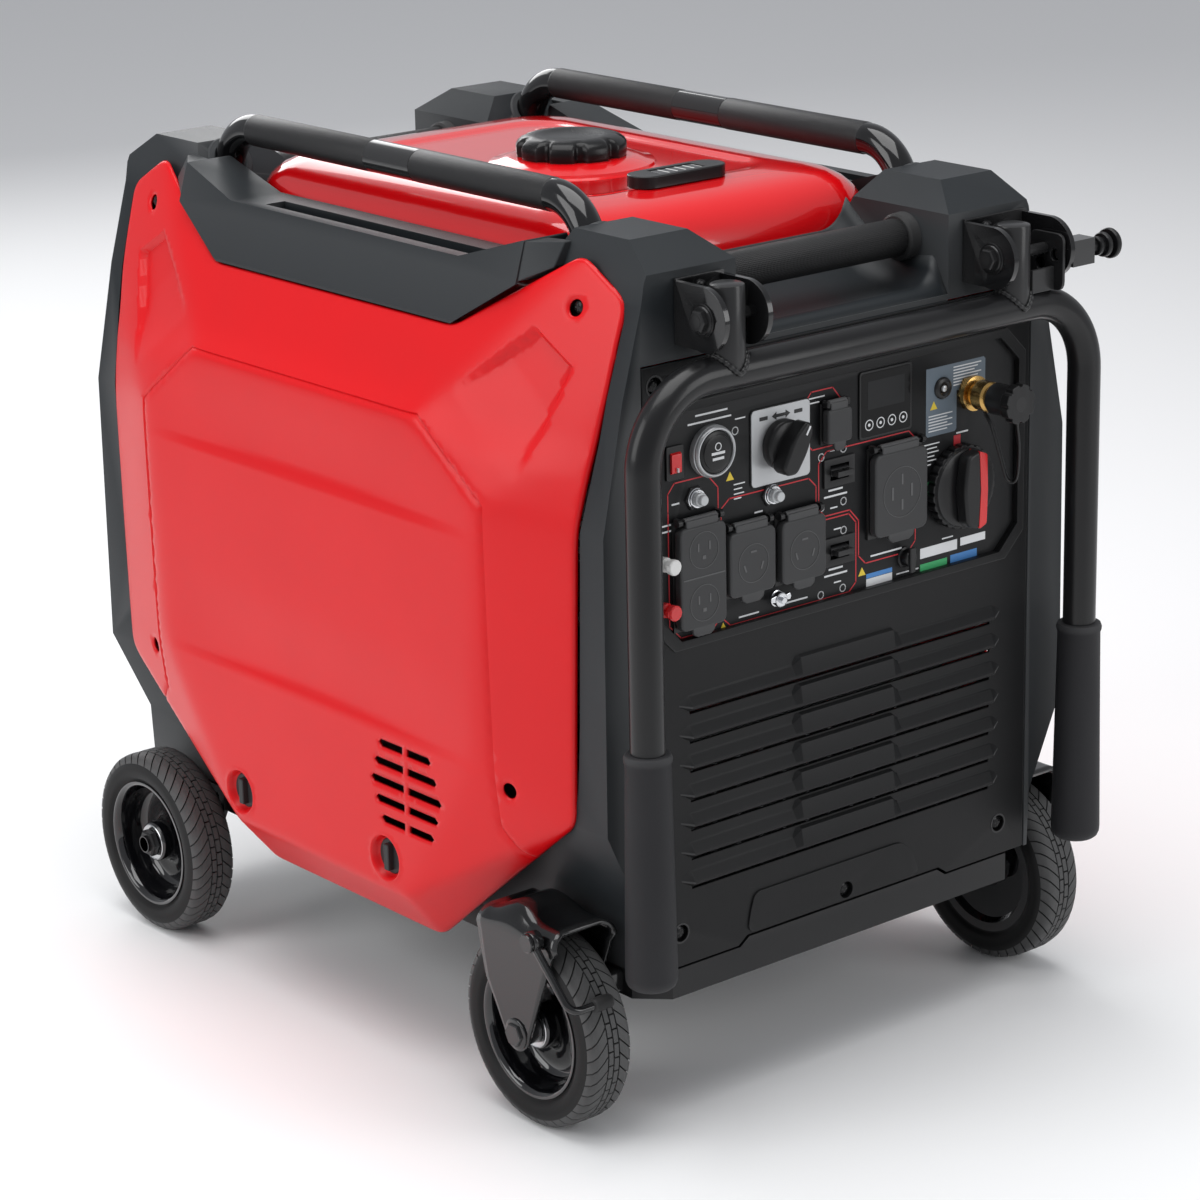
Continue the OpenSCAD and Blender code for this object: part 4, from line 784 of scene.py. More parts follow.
def end_cover(end, label, opening):
    """The plate with its slots and screw wells, the blades, the apron pad and the ledge."""
    edge_x = cover_x - 0.0015
    outline = [(-edge_x, cover_low), (-0.122, cover_low), (-0.112, cover_low + lip_rise),
               (0.112, cover_low + lip_rise), (0.122, cover_low), (edge_x, cover_low),
               (edge_x, cover_top), (-edge_x, cover_top)]
    slots = [[(-blade_reach + 0.012, z - 0.0052), (blade_reach - 0.012, z - 0.0052),
              (blade_reach - 0.012, z + 0.004), (-blade_reach + 0.012, z + 0.004)]
             for z in (louvre_low + i * louvre_pitch for i in range(louvre_count))]
    wells = [circle(p, 0.0074, 24) for p in screw_places]
    pieces = [plate("sheet", outline, slots + wells + [opening], half_len, half_len - 0.003,
                    cover_black, 0.0009, end)]
    if end > 0:
        ledge = octagon(panel_half + 0.004, panel_height / 2 + 0.004, panel_cut, panel_mid)
        inner = octagon(panel_half - 0.0035, panel_height / 2 - 0.0035, panel_cut, panel_mid)
        pieces.append(plate("bezel", ledge, [inner], half_len + 0.0022, half_len - 0.0045, cover_black, 0.0012))
    pad = [(-0.113, cover_low + 0.009), (0.088, cover_low + 0.009), (0.078, cover_low + 0.032),
           (0.066, cover_low + 0.044), (-0.104, cover_low + 0.044), (-0.109, cover_low + 0.030)]
    middle_well = circle(screw_places[0], 0.0074, 24)
    pieces.append(plate("pad", rounded(pad, 0.012, 4), [middle_well], half_len + 0.0016, half_len - 0.001,
                        cover_black, 0.0011, end))
    for x, z in screw_places:
        pieces.append(turned("well", [(0, 0.006), (0.0074, 0.006), (0.0074, -0.0004), (0.0088, -0.0004),
                                      (0.0088, 0.0075), (0, 0.0075)],
                             (x * end, -half_len * end, z), (0, end, 0), cover_black, 24))
    blades = grow_tree(blade("blade", end), row_tree, "blades", Count=louvre_count,
                       Step=(0, 0, louvre_pitch), Finish=cover_black)
    return fit(merged(label + "_cover_moulding", pieces + [blades]), "chassis",
               "black_plastic", label + "_cover")


panel_opening = octagon(panel_half - 0.0015, panel_height / 2 - 0.0015, panel_cut, panel_mid)
pipe_opening = circle((0.110, top_z - 0.300), 0.062, 40)
end_cover(1, "front", panel_opening)
end_cover(-1, "rear", pipe_opening)

# ---- Top rails ----
# Charcoal trim along each side of the tank, with a long slot for tie-down hooks. A
# gusset at each end carries its outer face on into the tower.
rail_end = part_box("right_top_rail")[1].y
gusset = [(-0.0507, 0.0006, -0.0423), (-0.0595, 0.0006, -0.0110),
          (-0.0840, 0.0006, -0.0110), (-0.0760, 0.0006, -0.0430),
          (-0.0665, -0.0280, -0.0285), (-0.0790, -0.0280, -0.0095),
          (-0.0860, -0.0280, -0.0095), (-0.0800, -0.0280, -0.0290)]
for side, s in (("left", -1), ("right", 1)):
    pieces = [eased_copy("rail", side + "_top_rail", charcoal, 0.0018, 2)]
    for end in (-1, 1):
        form = bmesh.new()
        for x, y, z in gusset:
            form.verts.new((s * (panel_face + x), end * (rail_end - y), top_z + z))
        bmesh.ops.convex_hull(form, input=form.verts)
        pieces.append(ease_edges(show("gusset", as_mesh("gusset", form), charcoal), 0.0012))
    fit(merged(side + "_rail_moulding", pieces), "chassis", "charcoal_plastic", side + "_top_rail")

# ---- Fuel tank, cap and gauge ----
# The tank is pressed steel in gloss red, with a dished collar round the filler. The cap
# is black plastic with finger scallops, and the gauge is a black block with a window.
tank_gloss = finish("tank_enamel", (0.70, 0.003, 0.006), 0.16, drift=0.04, spread=0.05, grain=260.0,
                    depth=0.02, painted_highlight=0.0, coat=1.0, coat_roughness=0.04)
tank_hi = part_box("fuel_tank")[1]
cap_y = (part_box("fuel_cap")[0].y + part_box("fuel_cap")[1].y) / 2
tank_top = tank_hi.z - 0.006


def soft_box(half_x, half_y, radius, count=8):
    """A box outline with round corners."""
    points = []
    for cx, cy, start in ((half_x, half_y, 0), (-half_x, half_y, 90),
                          (-half_x, -half_y, 180), (half_x, -half_y, 270)):
        for i in range(count + 1):
            a = math.radians(start + 90 * i / count)
            points.append((math.copysign(abs(cx) - radius, cx) + radius * math.cos(a),
                           math.copysign(abs(cy) - radius, cy) + radius * math.sin(a)))
    return points


def stacked(name, rings, material, smooth_to=60.0, centre_y=0.0):
    """A closed body through outlines stacked in Z."""
    form = bmesh.new()
    loops = [[form.verts.new((x, y + centre_y, z)) for x, y in ring] for z, ring in rings]
    loft(form, loops)
    return show(name, as_mesh(name, form), material, smooth_to)


# Inset from the tank's side, and depth below its top, from the bottom seam to the crown.
tank_steps = [(0.006, 0.140), (0.0, 0.134), (0.0, 0.050), (0.001, 0.040), (0.004, 0.029), (0.009, 0.019),
              (0.016, 0.011), (0.026, 0.005), (0.040, 0.002), (0.056, 0.0004), (0.062, 0.0), (0.066, 0.0),
              (0.071, 0.0016), (0.078, 0.0026), (0.084, 0.0028)]
tank_body = stacked("tank_body", [
    (tank_top - drop, soft_box(tank_hi.x - inset, tank_hi.y - inset * 1.15,
                               max(0.012, 0.052 - inset * 0.2), 10))
    for inset, drop in tank_steps], tank_gloss)
neck_out = 0.033
collar = turned("filler_collar", [
    (neck_out - 0.003, -0.020), (neck_out + 0.042, -0.004),
    (neck_out + 0.040, -0.0005), (neck_out + 0.032, 0.0012),
    (neck_out + 0.024, 0.0042), (neck_out + 0.014, 0.0050), (neck_out + 0.006, 0.0042), (neck_out, 0.0060),
    (neck_out - 0.003, 0.0060)], (0, cap_y, tank_top), (0, 0, 1), tank_gloss, 96)
fit(tank_body, "chassis", "tank_paint", "fuel_tank")
fit(collar, "chassis", "tank_paint")

insert_grey = finish("insert_moulding", (0.12, 0.12, 0.12), 0.5)
coat_node("fuel_cap_insert", insert_grey)

cap_black = finish("cap_moulding", (0.005, 0.005, 0.0055), 0.28, grain=900.0, depth=0.1, painted_highlight=0.03)
cap_lo, cap_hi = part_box("fuel_cap")
cap_r = (cap_hi.x - cap_lo.x) / 2


def scalloped(radius, dip, lobes, count=180):
    """A round outline with shallow finger scallops."""
    line = []
    for i in range(count):
        a = 2 * math.pi * i / count
        rise = 1.6 * max(0.0, math.cos(lobes * 2 * math.pi * i / count) - 0.35)
        out = radius - dip * smooth_step(np.array(rise))
        line.append((out * math.cos(a), out * math.sin(a)))
    return line


cap_height = cap_hi.z - cap_lo.z
cap_steps = [(0.004, 0.0, 1.0), (0.001, 0.002, 1.0), (0.0, 0.006, 1.0), (0.0, cap_height - 0.008, 1.0),
             (0.0015, cap_height - 0.005, 0.9), (0.005, cap_height - 0.0022, 0.5),
             (0.010, cap_height - 0.0006, 0.15),
             (0.016, cap_height, 0.0), (0.020, cap_height, 0.0), (0.024, cap_height - 0.0012, 0.0)]
cap_body = stacked("fuel_cap_moulding", [
    (cap_lo.z + rise, scalloped(cap_r - inset, 0.0052 * dip, 9)) for inset, rise, dip in cap_steps],
    cap_black, 45, cap_y)
fit(cap_body, "cap", "cap_plastic", "fuel_cap")

gauge_black = finish("gauge_housing", (0.006, 0.006, 0.0066), 0.25, grain=900.0, depth=0.1)
fit(eased_copy("fuel_gauge_housing", "fuel_gauge", gauge_black, 0.0012, 2),
    "chassis", "black_plastic", "fuel_gauge")
gauge_lo, gauge_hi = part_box("fuel_gauge")
gauge_mid = (gauge_lo.y + gauge_hi.y) / 2
window = bpy.data.materials.new("gauge_window")
window.use_nodes = True
window_shader = window.node_tree.nodes["Principled BSDF"]
window_place = wire(window.node_tree, "ShaderNodeTexCoord", {}).outputs["Object"]
window_marks = wire(window.node_tree, "ShaderNodeTexWave", {
    "Vector": window_place, "Scale": 34.0, "Distortion": 0.0}, bands_direction="X").outputs["Fac"]
window_ramp = wire(window.node_tree, "ShaderNodeMapRange", {
    "Value": window_marks, "From Min": 0.90, "From Max": 0.95}).outputs["Result"]
window_colour = wire(window.node_tree, "ShaderNodeMix", {
    0: window_ramp, 6: (0.02, 0.02, 0.022, 1), 7: (0.75, 0.75, 0.72, 1)}, data_type="RGBA").outputs[2]
window.node_tree.links.new(window_colour, window_shader.inputs["Base Color"])
window_shader.inputs["Roughness"].default_value = 0.08
lens = slab("gauge_window", soft_box(0.0235, 0.0085, 0.003, 4), "Z", gauge_hi.z - 0.0026,
            gauge_hi.z - 0.0008, window, 0.0004)
for vertex in lens.data.vertices:
    vertex.co.y += gauge_mid
fit(lens, "chassis", "panel_fittings")

# ---- Carry handles ----
# Steel tube bent down into the towers at both ends. The middle is dipped in a sparkling
# grip coat with a plain band at its centre, and the bare ends are gloss black.
sparkle_coat = finish("sparkle_coat", (0.009, 0.009, 0.0097), 0.36, grain=1100.0, depth=0.9, painted_highlight=0.05)
gloss_coat = finish("gloss_coat", (0.0045, 0.0045, 0.005), 0.14, drift=0.02, grain=300.0, depth=0.03,
                    coat=0.6, coat_roughness=0.05)
tube_r = 0.0143
carry_x = panel_face - 0.115
carry_z = top_z + 0.015
carry_straight, carry_bend, carry_angle, carry_tail = half_len - 0.155, 0.045, math.radians(65), 0.038


def swept(name, path, radii, material, sides=32, smooth_to=50.0, squash=1.0):
    """A round bar along a path, its radius given at each point, with closed ends."""
    form = bmesh.new()
    path = [Vector(p) for p in path]
    if not isinstance(radii, (list, tuple)):
        radii = [radii] * len(path)
    rings, across = [], None
    for i, point in enumerate(path):
        ahead = (path[min(i + 1, len(path) - 1)] - path[max(i - 1, 0)]).normalized()
        if across is None:
            across = ahead.cross(Vector((0, 0, 1)) if abs(ahead.z) < 0.9 else Vector((1, 0, 0)))
        across = (across - ahead * across.dot(ahead)).normalized()
        other = ahead.cross(across)
        rings.append([form.verts.new(point + across * radii[i] * math.cos(2 * math.pi * j / sides)
                                     + other * radii[i] * squash * math.sin(2 * math.pi * j / sides))
                      for j in range(sides)])
    loft(form, rings)
    return show(name, as_mesh(name, form), material, smooth_to)


def carry_end(x, way, count=14):
    """The points of one bent end, from the straight down into the tower."""
    points = [(x, way * (carry_straight + carry_bend * math.sin(carry_angle * i / count)),
               carry_z - carry_bend * (1 - math.cos(carry_angle * i / count))) for i in range(count + 1)]
    _, y, z = points[-1]
    points.append((x, y + way * carry_tail * math.cos(carry_angle), z - carry_tail * math.sin(carry_angle)))
    return points


for side, label in ((-1, "left"), (1, "right")):
    x = side * carry_x
    parts = []
    for way in (-1, 1):
        parts.append(swept("end", [(x, way * 0.2100, carry_z)] + carry_end(x, way), tube_r - 0.0005,
                           gloss_coat))
        grip = [0.0325, 0.0335, 0.2095, 0.2110, 0.2115]
        widths = [tube_r - 0.0004, tube_r, tube_r, tube_r - 0.0003, tube_r - 0.0008]
        parts.append(swept("grip", [(x, way * y, carry_z) for y in grip], widths, sparkle_coat))
        parts.append(turned("collar", [(0.0150, -0.004), (0.0225, -0.003), (0.0225, 0.0006), (0.0212, 0.0020),
                                       (0.0165, 0.0026), (0.0150, 0.0016)],
                            (x, way * 0.2559, 0.7273), (0, -way * 0.8255, 0.5648), charcoal, 40))
    parts.append(swept("band", [(x, y, carry_z) for y in (-0.0325, -0.0320, 0.0320, 0.0325)],
                       [tube_r - 0.0008, tube_r - 0.0002, tube_r - 0.0002, tube_r - 0.0008], gloss_coat))
    fit(merged(label + "_carry_tube", parts), "chassis", "handle_coat", label + "_carry_handle")

# ---- Cross handles ----
# A thicker tube joins the two towers at each end, in a rubber sleeve with a fine
# diamond knurl, and a rubber flange takes up the gap to the tower.
cross_y, cross_z, cross_r = half_len - 0.052, top_z - 0.047, 0.016
knurl = finish("knurled_sleeve", (0.008, 0.008, 0.0086), 0.42, grain=800.0, depth=0.2)
knurl_tree = knurl.node_tree
knurl_place = wire(knurl_tree, "ShaderNodeSeparateXYZ", {
    0: wire(knurl_tree, "ShaderNodeTexCoord", {}).outputs["Object"]})
depth_in = figure(knurl_tree, "ABSOLUTE", knurl_place.outputs["Y"])
depth_in = figure(knurl_tree, "SUBTRACT", depth_in, cross_y)
height_in = figure(knurl_tree, "SUBTRACT", knurl_place.outputs["Z"], cross_z)
around = figure(knurl_tree, "ARCTAN2", height_in, depth_in)
around = figure(knurl_tree, "MULTIPLY", around, 32.0)
along = figure(knurl_tree, "MULTIPLY", knurl_place.outputs["X"], 2000.0)
ridges = []
for operation in ("ADD", "SUBTRACT"):
    slant = figure(knurl_tree, operation, along, around)
    ridges.append(figure(knurl_tree, "SINE", slant))
diamonds = figure(knurl_tree, "MULTIPLY", *ridges)
knurl_bump = wire(knurl_tree, "ShaderNodeBump", {"Height": diamonds, "Strength": 0.55, "Distance": 0.0006})
knurl_tree.links.new(knurl_bump.outputs["Normal"], knurl_tree.nodes["Principled BSDF"].inputs["Normal"])
for end, label in ((-1, "front"), (1, "rear")):
    y = end * cross_y
    parts = [swept("sleeve", [(x, y, cross_z) for x in (-0.1175, -0.117, 0.117, 0.1175)],
                   [cross_r - 0.0005, cross_r, cross_r, cross_r - 0.0005], knurl, 40)]
    for s in (-1, 1):
        parts.append(turned("flange", [(0.015, -0.011), (0.0178, -0.011),
                                       (0.0200, -0.0095), (0.0205, 0.0), (0.015, 0.0)],
                            (s * cross_x, y, cross_z), (s, 0, 0), cover_black, 40))
    fit(merged(label + "_cross_tube", parts), "chassis", "handle_coat", label + "_cross_handle")

# ---- Handle brackets ----
# Gloss-black clevises bent from plate and bolted to the front towers. The push handle
# folds on their bolts, and the right one also houses the spring pin that locks it.
pivot_y, pivot_z = -(half_len + 0.035), top_z - 0.056
stub_x, ear_t, far_ear_x = panel_face - 0.1305, 0.005, panel_face - 0.0885
for side in ("left", "right"):
    fit(eased_copy(side + "_bracket", side + "_handle_bracket", gloss_coat, 0.0014, 3),
        "chassis", "bracket_steel", side + "_handle_bracket")
pin_black = finish("pin_plastic", (0.006, 0.006, 0.0066), 0.3, grain=900.0, depth=0.1)
pin_lo, pin_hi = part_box("lock_pin")
pin_y, pin_z = pivot_y - 0.013, pivot_z - 0.004
knob_profile = [(0.0, pin_lo.x), (0.0045, pin_lo.x), (0.0050, pin_lo.x + 0.001)]
knob_from = pin_hi.x - 0.021
knob_profile += [(0.0050, knob_from), (0.0078, knob_from + 0.0004)]
for i, r in enumerate((0.0080, 0.0105, 0.0130)):
    at = knob_from + i * 0.008
    knob_profile += [(r - 0.0008, at), (r, at + 0.0012), (r, at + 0.0038), (r - 0.0008, at + 0.0050)]
    if i < 2:
        knob_profile += [(0.0070, at + 0.0053), (0.0070, at + 0.0077)]
knob_profile.append((0.0, pin_hi.x))
fit(turned("lock_pin_knob", knob_profile, (0, pin_y, pin_z), (1, 0, 0), pin_black, 48),
    "lock_pin", "black_plastic", "lock_pin")

# ---- Push handle ----
# One bent steel tube, satin powder coat, with two stubs welded on top of the crossbar
# and a flange beside the right stub that the lock pin drops into.
satin_tube = finish("satin_tube", (0.008, 0.008, 0.0086), 0.3, drift=0.08,
                    grain=700.0, depth=0.12, painted_highlight=0.06, coat=0.15)
leg_x, push_bend = panel_face - 0.042, 0.067
crossbar_z = pivot_z - 0.045
leg_low = base_z + 0.045
half_path = [(leg_x, pivot_y, leg_low), (leg_x, pivot_y, leg_low + 0.2),
             (leg_x, pivot_y, crossbar_z - push_bend)]
for i in range(1, 19):
    a = math.pi / 2 * i / 18
    half_path.append((leg_x - push_bend + push_bend * math.cos(a), pivot_y,
                      crossbar_z - push_bend + push_bend * math.sin(a)))
whole_path = [(-x, y, z) for x, y, z in half_path] + [(x, y, z) for x, y, z in reversed(half_path)]
handle_parts = [swept("bow", whole_path, tube_r, satin_tube, 40)]
for side in (-1, 1):
    handle_parts.append(turned("stub", [(0, 0.0), (tube_r, 0.0), (tube_r, 0.0685), (tube_r - 0.0006, 0.0702),
                                        (tube_r - 0.0024, 0.0710), (0, 0.0710)],
                               (side * stub_x, pivot_y, crossbar_z), (0, 0, 1), satin_tube, 40))
    bead, widths = [], []
    for i in range(97):
        a = 2 * math.pi * i / 96
        bead.append((side * stub_x + (tube_r + 0.0008) * math.cos(a), pivot_y + (tube_r + 0.0008) * math.sin(a),
                     crossbar_z + (tube_r + 0.0004) * abs(math.cos(a)) ** 1.2 + 0.0006))
        widths.append(0.0023 + 0.0004 * math.sin(a * 26))
    handle_parts.append(swept("weld", bead, widths, satin_tube, 10, 80))


def side_plate(name, outline, holes, low, high, material, edge=0.0008):
    """A flat plate in Y and Z with holes, between two places in X."""
    piece = plate(name, outline, holes, -low, -high, material, edge)
    for vertex in piece.data.vertices:
        a, b, c = vertex.co
        vertex.co = (b, a, c)
    piece.data.flip_normals()
    return piece


tab_x = far_ear_x - 0.0055
tab = [(pivot_y - 0.022, pivot_z - 0.034), (pivot_y + 0.016, pivot_z - 0.034),
       (pivot_y + 0.016, pivot_z + 0.014), (pivot_y - 0.022, pivot_z + 0.014)]
tab_holes = [circle((pivot_y - 0.013, pivot_z - 0.004), 0.0052, 20),
             circle((pivot_y + 0.004, pivot_z - 0.013), 0.0052, 20)]
handle_parts.append(side_plate("tab", rounded(tab, 0.008, 5), tab_holes, tab_x, tab_x + 0.003, satin_tube))
handle_parts.append(slab("tab_web", [(stub_x + 0.0113, pivot_z - 0.034), (tab_x + 0.001, pivot_z - 0.034),
                                     (tab_x + 0.001, pivot_z - 0.014), (stub_x + 0.0113, pivot_z - 0.014)],
                         "Y", pivot_y - 0.012, pivot_y - 0.008, satin_tube))
fit(merged("push_handle_tube", handle_parts), "push_handle", "push_tube", "push_handle")

# Soft charcoal rubber grips, with a rolled lip at the top and a round closed end.
grip_rubber = finish("grip_rubber", (0.019, 0.019, 0.021), 0.62, drift=0.15, grain=1900.0, depth=0.3, painted_highlight=0.10)
grip_low, grip_len, grip_r = base_z + 0.038, 0.200, 0.0215
grip_profile = [(0, 0), (grip_r - 0.008, 0), (grip_r - 0.0045, 0.0008),
                (grip_r - 0.0018, 0.0030), (grip_r - 0.0004, 0.0065),
                (grip_r, 0.0110), (grip_r - 0.0018, grip_len * 0.6), (grip_r - 0.0028, grip_len - 0.0085),
                (grip_r - 0.0020, grip_len - 0.0070), (grip_r - 0.0016, grip_len - 0.0040),
                (grip_r - 0.0028, grip_len - 0.0008), (grip_r - 0.0050, grip_len), (0, grip_len)]
grips = [turned("grip", grip_profile, (s * leg_x, pivot_y, grip_low), (0, 0, 1),
                grip_rubber, 56, 40) for s in (-1, 1)]
fit(merged("rubber_grips", grips), "push_handle", "grip_rubber", "push_handle_grips")

# ---- Wheels ----
# Solid rubber tyres on deep pressed rims. The tread has two rows of small blocks in the
# middle and slanting shoulder lugs. The rim is a gloss-black dish with a bright bearing.
rubber = finish("tyre_rubber", (0.0042, 0.0042, 0.0044), 0.55, drift=0.2, grain=900.0, depth=0.35, painted_highlight=0.12)
rim_gloss = finish("rim_gloss", (0.004, 0.004, 0.005), 0.08, drift=0.02, grain=200.0,
                   depth=0.02, coat=1.0, coat_roughness=0.03)
bearing_steel = finish("bearing_steel", (0.55, 0.56, 0.57), 0.25, grain=300.0, depth=0.1, metallic=1.0)
wheel_lo, wheel_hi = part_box("front_right_tyre")
wheel_r = wheel_hi.z / 2
wheel_mid, wheel_half = (wheel_lo.x + wheel_hi.x) / 2, (wheel_hi.x - wheel_lo.x) / 2
axle_y = (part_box("rear_right_tyre")[0].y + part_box("rear_right_tyre")[1].y) / 2

# A ring: the piece is repeated Count times round the X axis, then moved to its Centre.
ring_tree, ring_in, ring_out = geometry_tree("ring_of", [("Count", INT), ("Centre", VECTOR),
                                                         ("Finish", MATERIAL)])
ring_spots = wire(ring_tree, "GeometryNodeMeshLine", {"Count": ring_in.outputs["Count"], "Offset": (0, 0, 0)})
ring_part = wire(ring_tree, "ShaderNodeMath", {0: 2 * math.pi, 1: ring_in.outputs["Count"]}, operation="DIVIDE")
ring_turn = wire(ring_tree, "ShaderNodeMath", {
    0: wire(ring_tree, "GeometryNodeInputIndex", {}).outputs[0], 1: ring_part.outputs[0]}, operation="MULTIPLY")
ring_angle = wire(ring_tree, "ShaderNodeCombineXYZ", {"X": ring_turn.outputs[0]})
ring_set = wire(ring_tree, "GeometryNodeInstanceOnPoints", {
    "Points": ring_spots.outputs["Mesh"], "Instance": ring_in.outputs["Geometry"],
    "Rotation": ring_angle.outputs[0]})
ring_real = wire(ring_tree, "GeometryNodeRealizeInstances", {"Geometry": ring_set.outputs["Instances"]})
ring_moved = wire(ring_tree, "GeometryNodeSetPosition", {
    "Geometry": ring_real.outputs["Geometry"], "Offset": ring_in.outputs["Centre"]})
ring_done = wire(ring_tree, "GeometryNodeSetMaterial", {
    "Geometry": ring_moved.outputs["Geometry"], "Material": ring_in.outputs["Finish"]})
ring_tree.links.new(ring_done.outputs["Geometry"], ring_out.inputs["Geometry"])

tread_count, tread_depth = 44, 0.0030
lug_line = [(0.0064, 0.0), (0.0118, 0.0), (0.0165, 0.0009), (0.0198, 0.0035), (0.0219, 0.0078)]


def strip(form, stations):
    """A solid strip through stations of (across, radius, start angle, end angle, depth)."""
    rings = []
    for across, radius, start, end, depth in stations:
        rings.append([form.verts.new((across, -r * math.sin(a), r * math.cos(a)))
                      for r, a in ((radius, start), (radius, end),
                                   (radius - depth, end), (radius - depth, start))])
    loft(form, rings)


def tread_piece(name, way):
    """One pitch of the tread: a pair of middle blocks and a lug on each shoulder."""
    form = bmesh.new()
    pitch = 2 * math.pi / tread_count
    for s in (-1, 1):
        skew = way * pitch * 0.25 * s
        strip(form, [(s * 0.0007, wheel_r, skew + 0.06 * pitch, skew + 0.94 * pitch, tread_depth),
                     (s * 0.0051, wheel_r, skew + 0.06 * pitch, skew + 0.94 * pitch, tread_depth)])
        stations = []
        for across, drop in lug_line:
            lean = way * 1.3 * pitch * (across - 0.0064) / 0.0155
            stations.append((s * across, wheel_r - drop, lean + 0.07 * pitch, lean + 0.93 * pitch, tread_depth))
        strip(form, stations)
    return show(name, as_mesh(name, form), rubber, 30)


def wheel(label, side, end):
    """The tyre with its tread, and the rim with its bearing, as two pieces fastened to the wheel's body."""
    centre = Vector((side * wheel_mid, end * axle_y, wheel_r))
    w = wheel_half
    crown = wheel_r - tread_depth + 0.0006
    tyre = [(0.0600, 0.0190), (0.0625, 0.0205), (0.0640, w - 0.0012), (0.0668, w - 0.0002), (0.0720, w),
            (0.0765, w - 0.0006), (0.0795, w - 0.0024), (crown - 0.0022, w - 0.0050), (crown, w - 0.0095),
            (crown, 0.0062), (crown, 0.0)]
    tyre = [(r, -h) for r, h in tyre] + [(r, h) for r, h in reversed(tyre[:-1])]
    body = turned("tyre", tyre, centre, (side, 0, 0), rubber, 128, 38)
    tread = grow_tree(tread_piece("pitch", -side), ring_tree, "tread",
                      Count=tread_count, Centre=centre, Finish=rubber)
    fit(merged(label + "_tyre_rubber", [body, tread]), label + "_wheel", "tyre_rubber", label + "_tyre")
    lowest = -w
    dish = [(0.0081, 0.0385), (0.0105, 0.0385), (0.0170, 0.0383), (0.0184, 0.0375),
            (0.0190, 0.0360), (0.0194, 0.0270),
            (0.0205, 0.0215), (0.0235, 0.0175), (0.0290, 0.0150), (0.0380, 0.0138),
            (0.0450, 0.0142), (0.0490, 0.0160),
            (0.0512, 0.0195), (0.0524, 0.0260), (0.0532, 0.0350), (0.0545, 0.0405),
            (0.0562, 0.0432), (0.0580, 0.0445),
            (0.0598, 0.0442), (0.0600, 0.0425), (0.0600, 0.0040), (0.0520, 0.0040),
            (0.0480, 0.0100), (0.0190, 0.0120),
            (0.0170, 0.0020), (0.0081, 0.0020)]
    parts = [turned("dish", [(r, h + lowest) for r, h in dish], centre, (side, 0, 0), rim_gloss, 128, 50)]
    ring = [(0.0123, 0.0378), (0.0172, 0.0378), (0.0172, 0.0388), (0.0165, 0.0393), (0.0155, 0.0388),
            (0.0132, 0.0388), (0.0123, 0.0384)]
    parts.append(turned("bearing", [(r, h + lowest) for r, h in ring], centre, (side, 0, 0), bearing_steel, 64))
    fit(merged(label + "_rim_dish", parts), label + "_wheel", "rim_paint", label + "_rim")


for label, side, end in (("front_left", -1, -1), ("front_right", 1, -1),
                         ("rear_left", -1, 1), ("rear_right", 1, 1)):
    wheel(label, side, end)

# ---- Axles and forks ----
# The rear wheels turn on stub axles welded to side plates. The front wheels sit in forks
# pressed from one sheet: a domed crown, two tapering cheeks, and a flange bolted to the tray.
fit(eased_copy("rear_axle_plates", "rear_axles", gloss_coat, 0.0010, 2),
    "chassis", "bracket_steel", "rear_axles")

fork_y, wheel_in, wheel_out = -axle_y, wheel_mid - wheel_half, wheel_mid + wheel_half
cheek_in, cheek_out, crown_top = wheel_in - 0.010, wheel_out + 0.010, 2 * wheel_r + 0.016
cheek_edges = [(wheel_r - 0.0150, 0.0, 0.0), (wheel_r - 0.0145, -0.0038, 0.0038),
               (wheel_r - 0.0130, -0.0075, 0.0075),
               (wheel_r - 0.0095, -0.0116, 0.0116), (wheel_r - 0.0050, -0.0141, 0.0141),
               (wheel_r + 0.0010, -0.0156, 0.0165),
               (wheel_r + 0.0200, -0.0230, 0.0270), (wheel_r + 0.0400, -0.0310, 0.0390),
               (wheel_r + 0.0620, -0.0400, 0.0445),
               (wheel_r + 0.0800, -0.0470, 0.0480),
               (crown_top - 0.0100, -0.0530, 0.0500), (crown_top, -0.0500, 0.0440)]


def fork_shell(name, side):
    """The pressed sheet as a grid: up the outer cheek, over the crown and down the inner one."""
    corner = 0.015
    line = []
    for z, low, high in cheek_edges[:-2]:
        line.append((cheek_out, z, low, high, 0.0))
    for i in range(9):
        a = math.pi / 2 * i / 8
        rise = crown_top - corner + corner * math.sin(a)
        line.append((cheek_out - corner + corner * math.cos(a), rise,
                     -0.0530 + 0.004 * i / 8, 0.0500 - 0.007 * i / 8, i / 8))
    inner = [(cheek_in + cheek_out - x, z, low, high, dome) for x, z, low, high, dome in reversed(line)]
    form = bmesh.new()
    count = 16
    rows = []
    for x, z, low, high, dome in line + inner:
        row = []
        for i in range(count + 1):
            t = i / count
            swell = math.sin(math.pi * min(1.0, max(0.0, (t - 0.30) / 0.62))) ** 1.3
            lift = dome * 0.010 * swell * (1 if z > 0.16 else 0)
            row.append(form.verts.new((side * x, fork_y + low + (high - low) * t, z + lift)))
        rows.append(row)
    for a, b in zip(rows, rows[1:]):
        for i in range(count):
            form.faces.new((a[i], a[i + 1], b[i + 1], b[i]))
    bmesh.ops.remove_doubles(form, verts=form.verts, dist=1e-6)
    bmesh.ops.recalc_face_normals(form, faces=form.faces)
    mesh = bpy.data.meshes.new(name)
    form.to_mesh(mesh)
    form.free()
    top = max(mesh.polygons, key=lambda p: p.center.z)
    if top.normal.z < 0:
        mesh.flip_normals()
    piece = show(name, mesh, gloss_coat, 60)
    wall = piece.modifiers.new("wall", "SOLIDIFY")
    wall.thickness = 0.004
    wall.offset = -1
    return piece


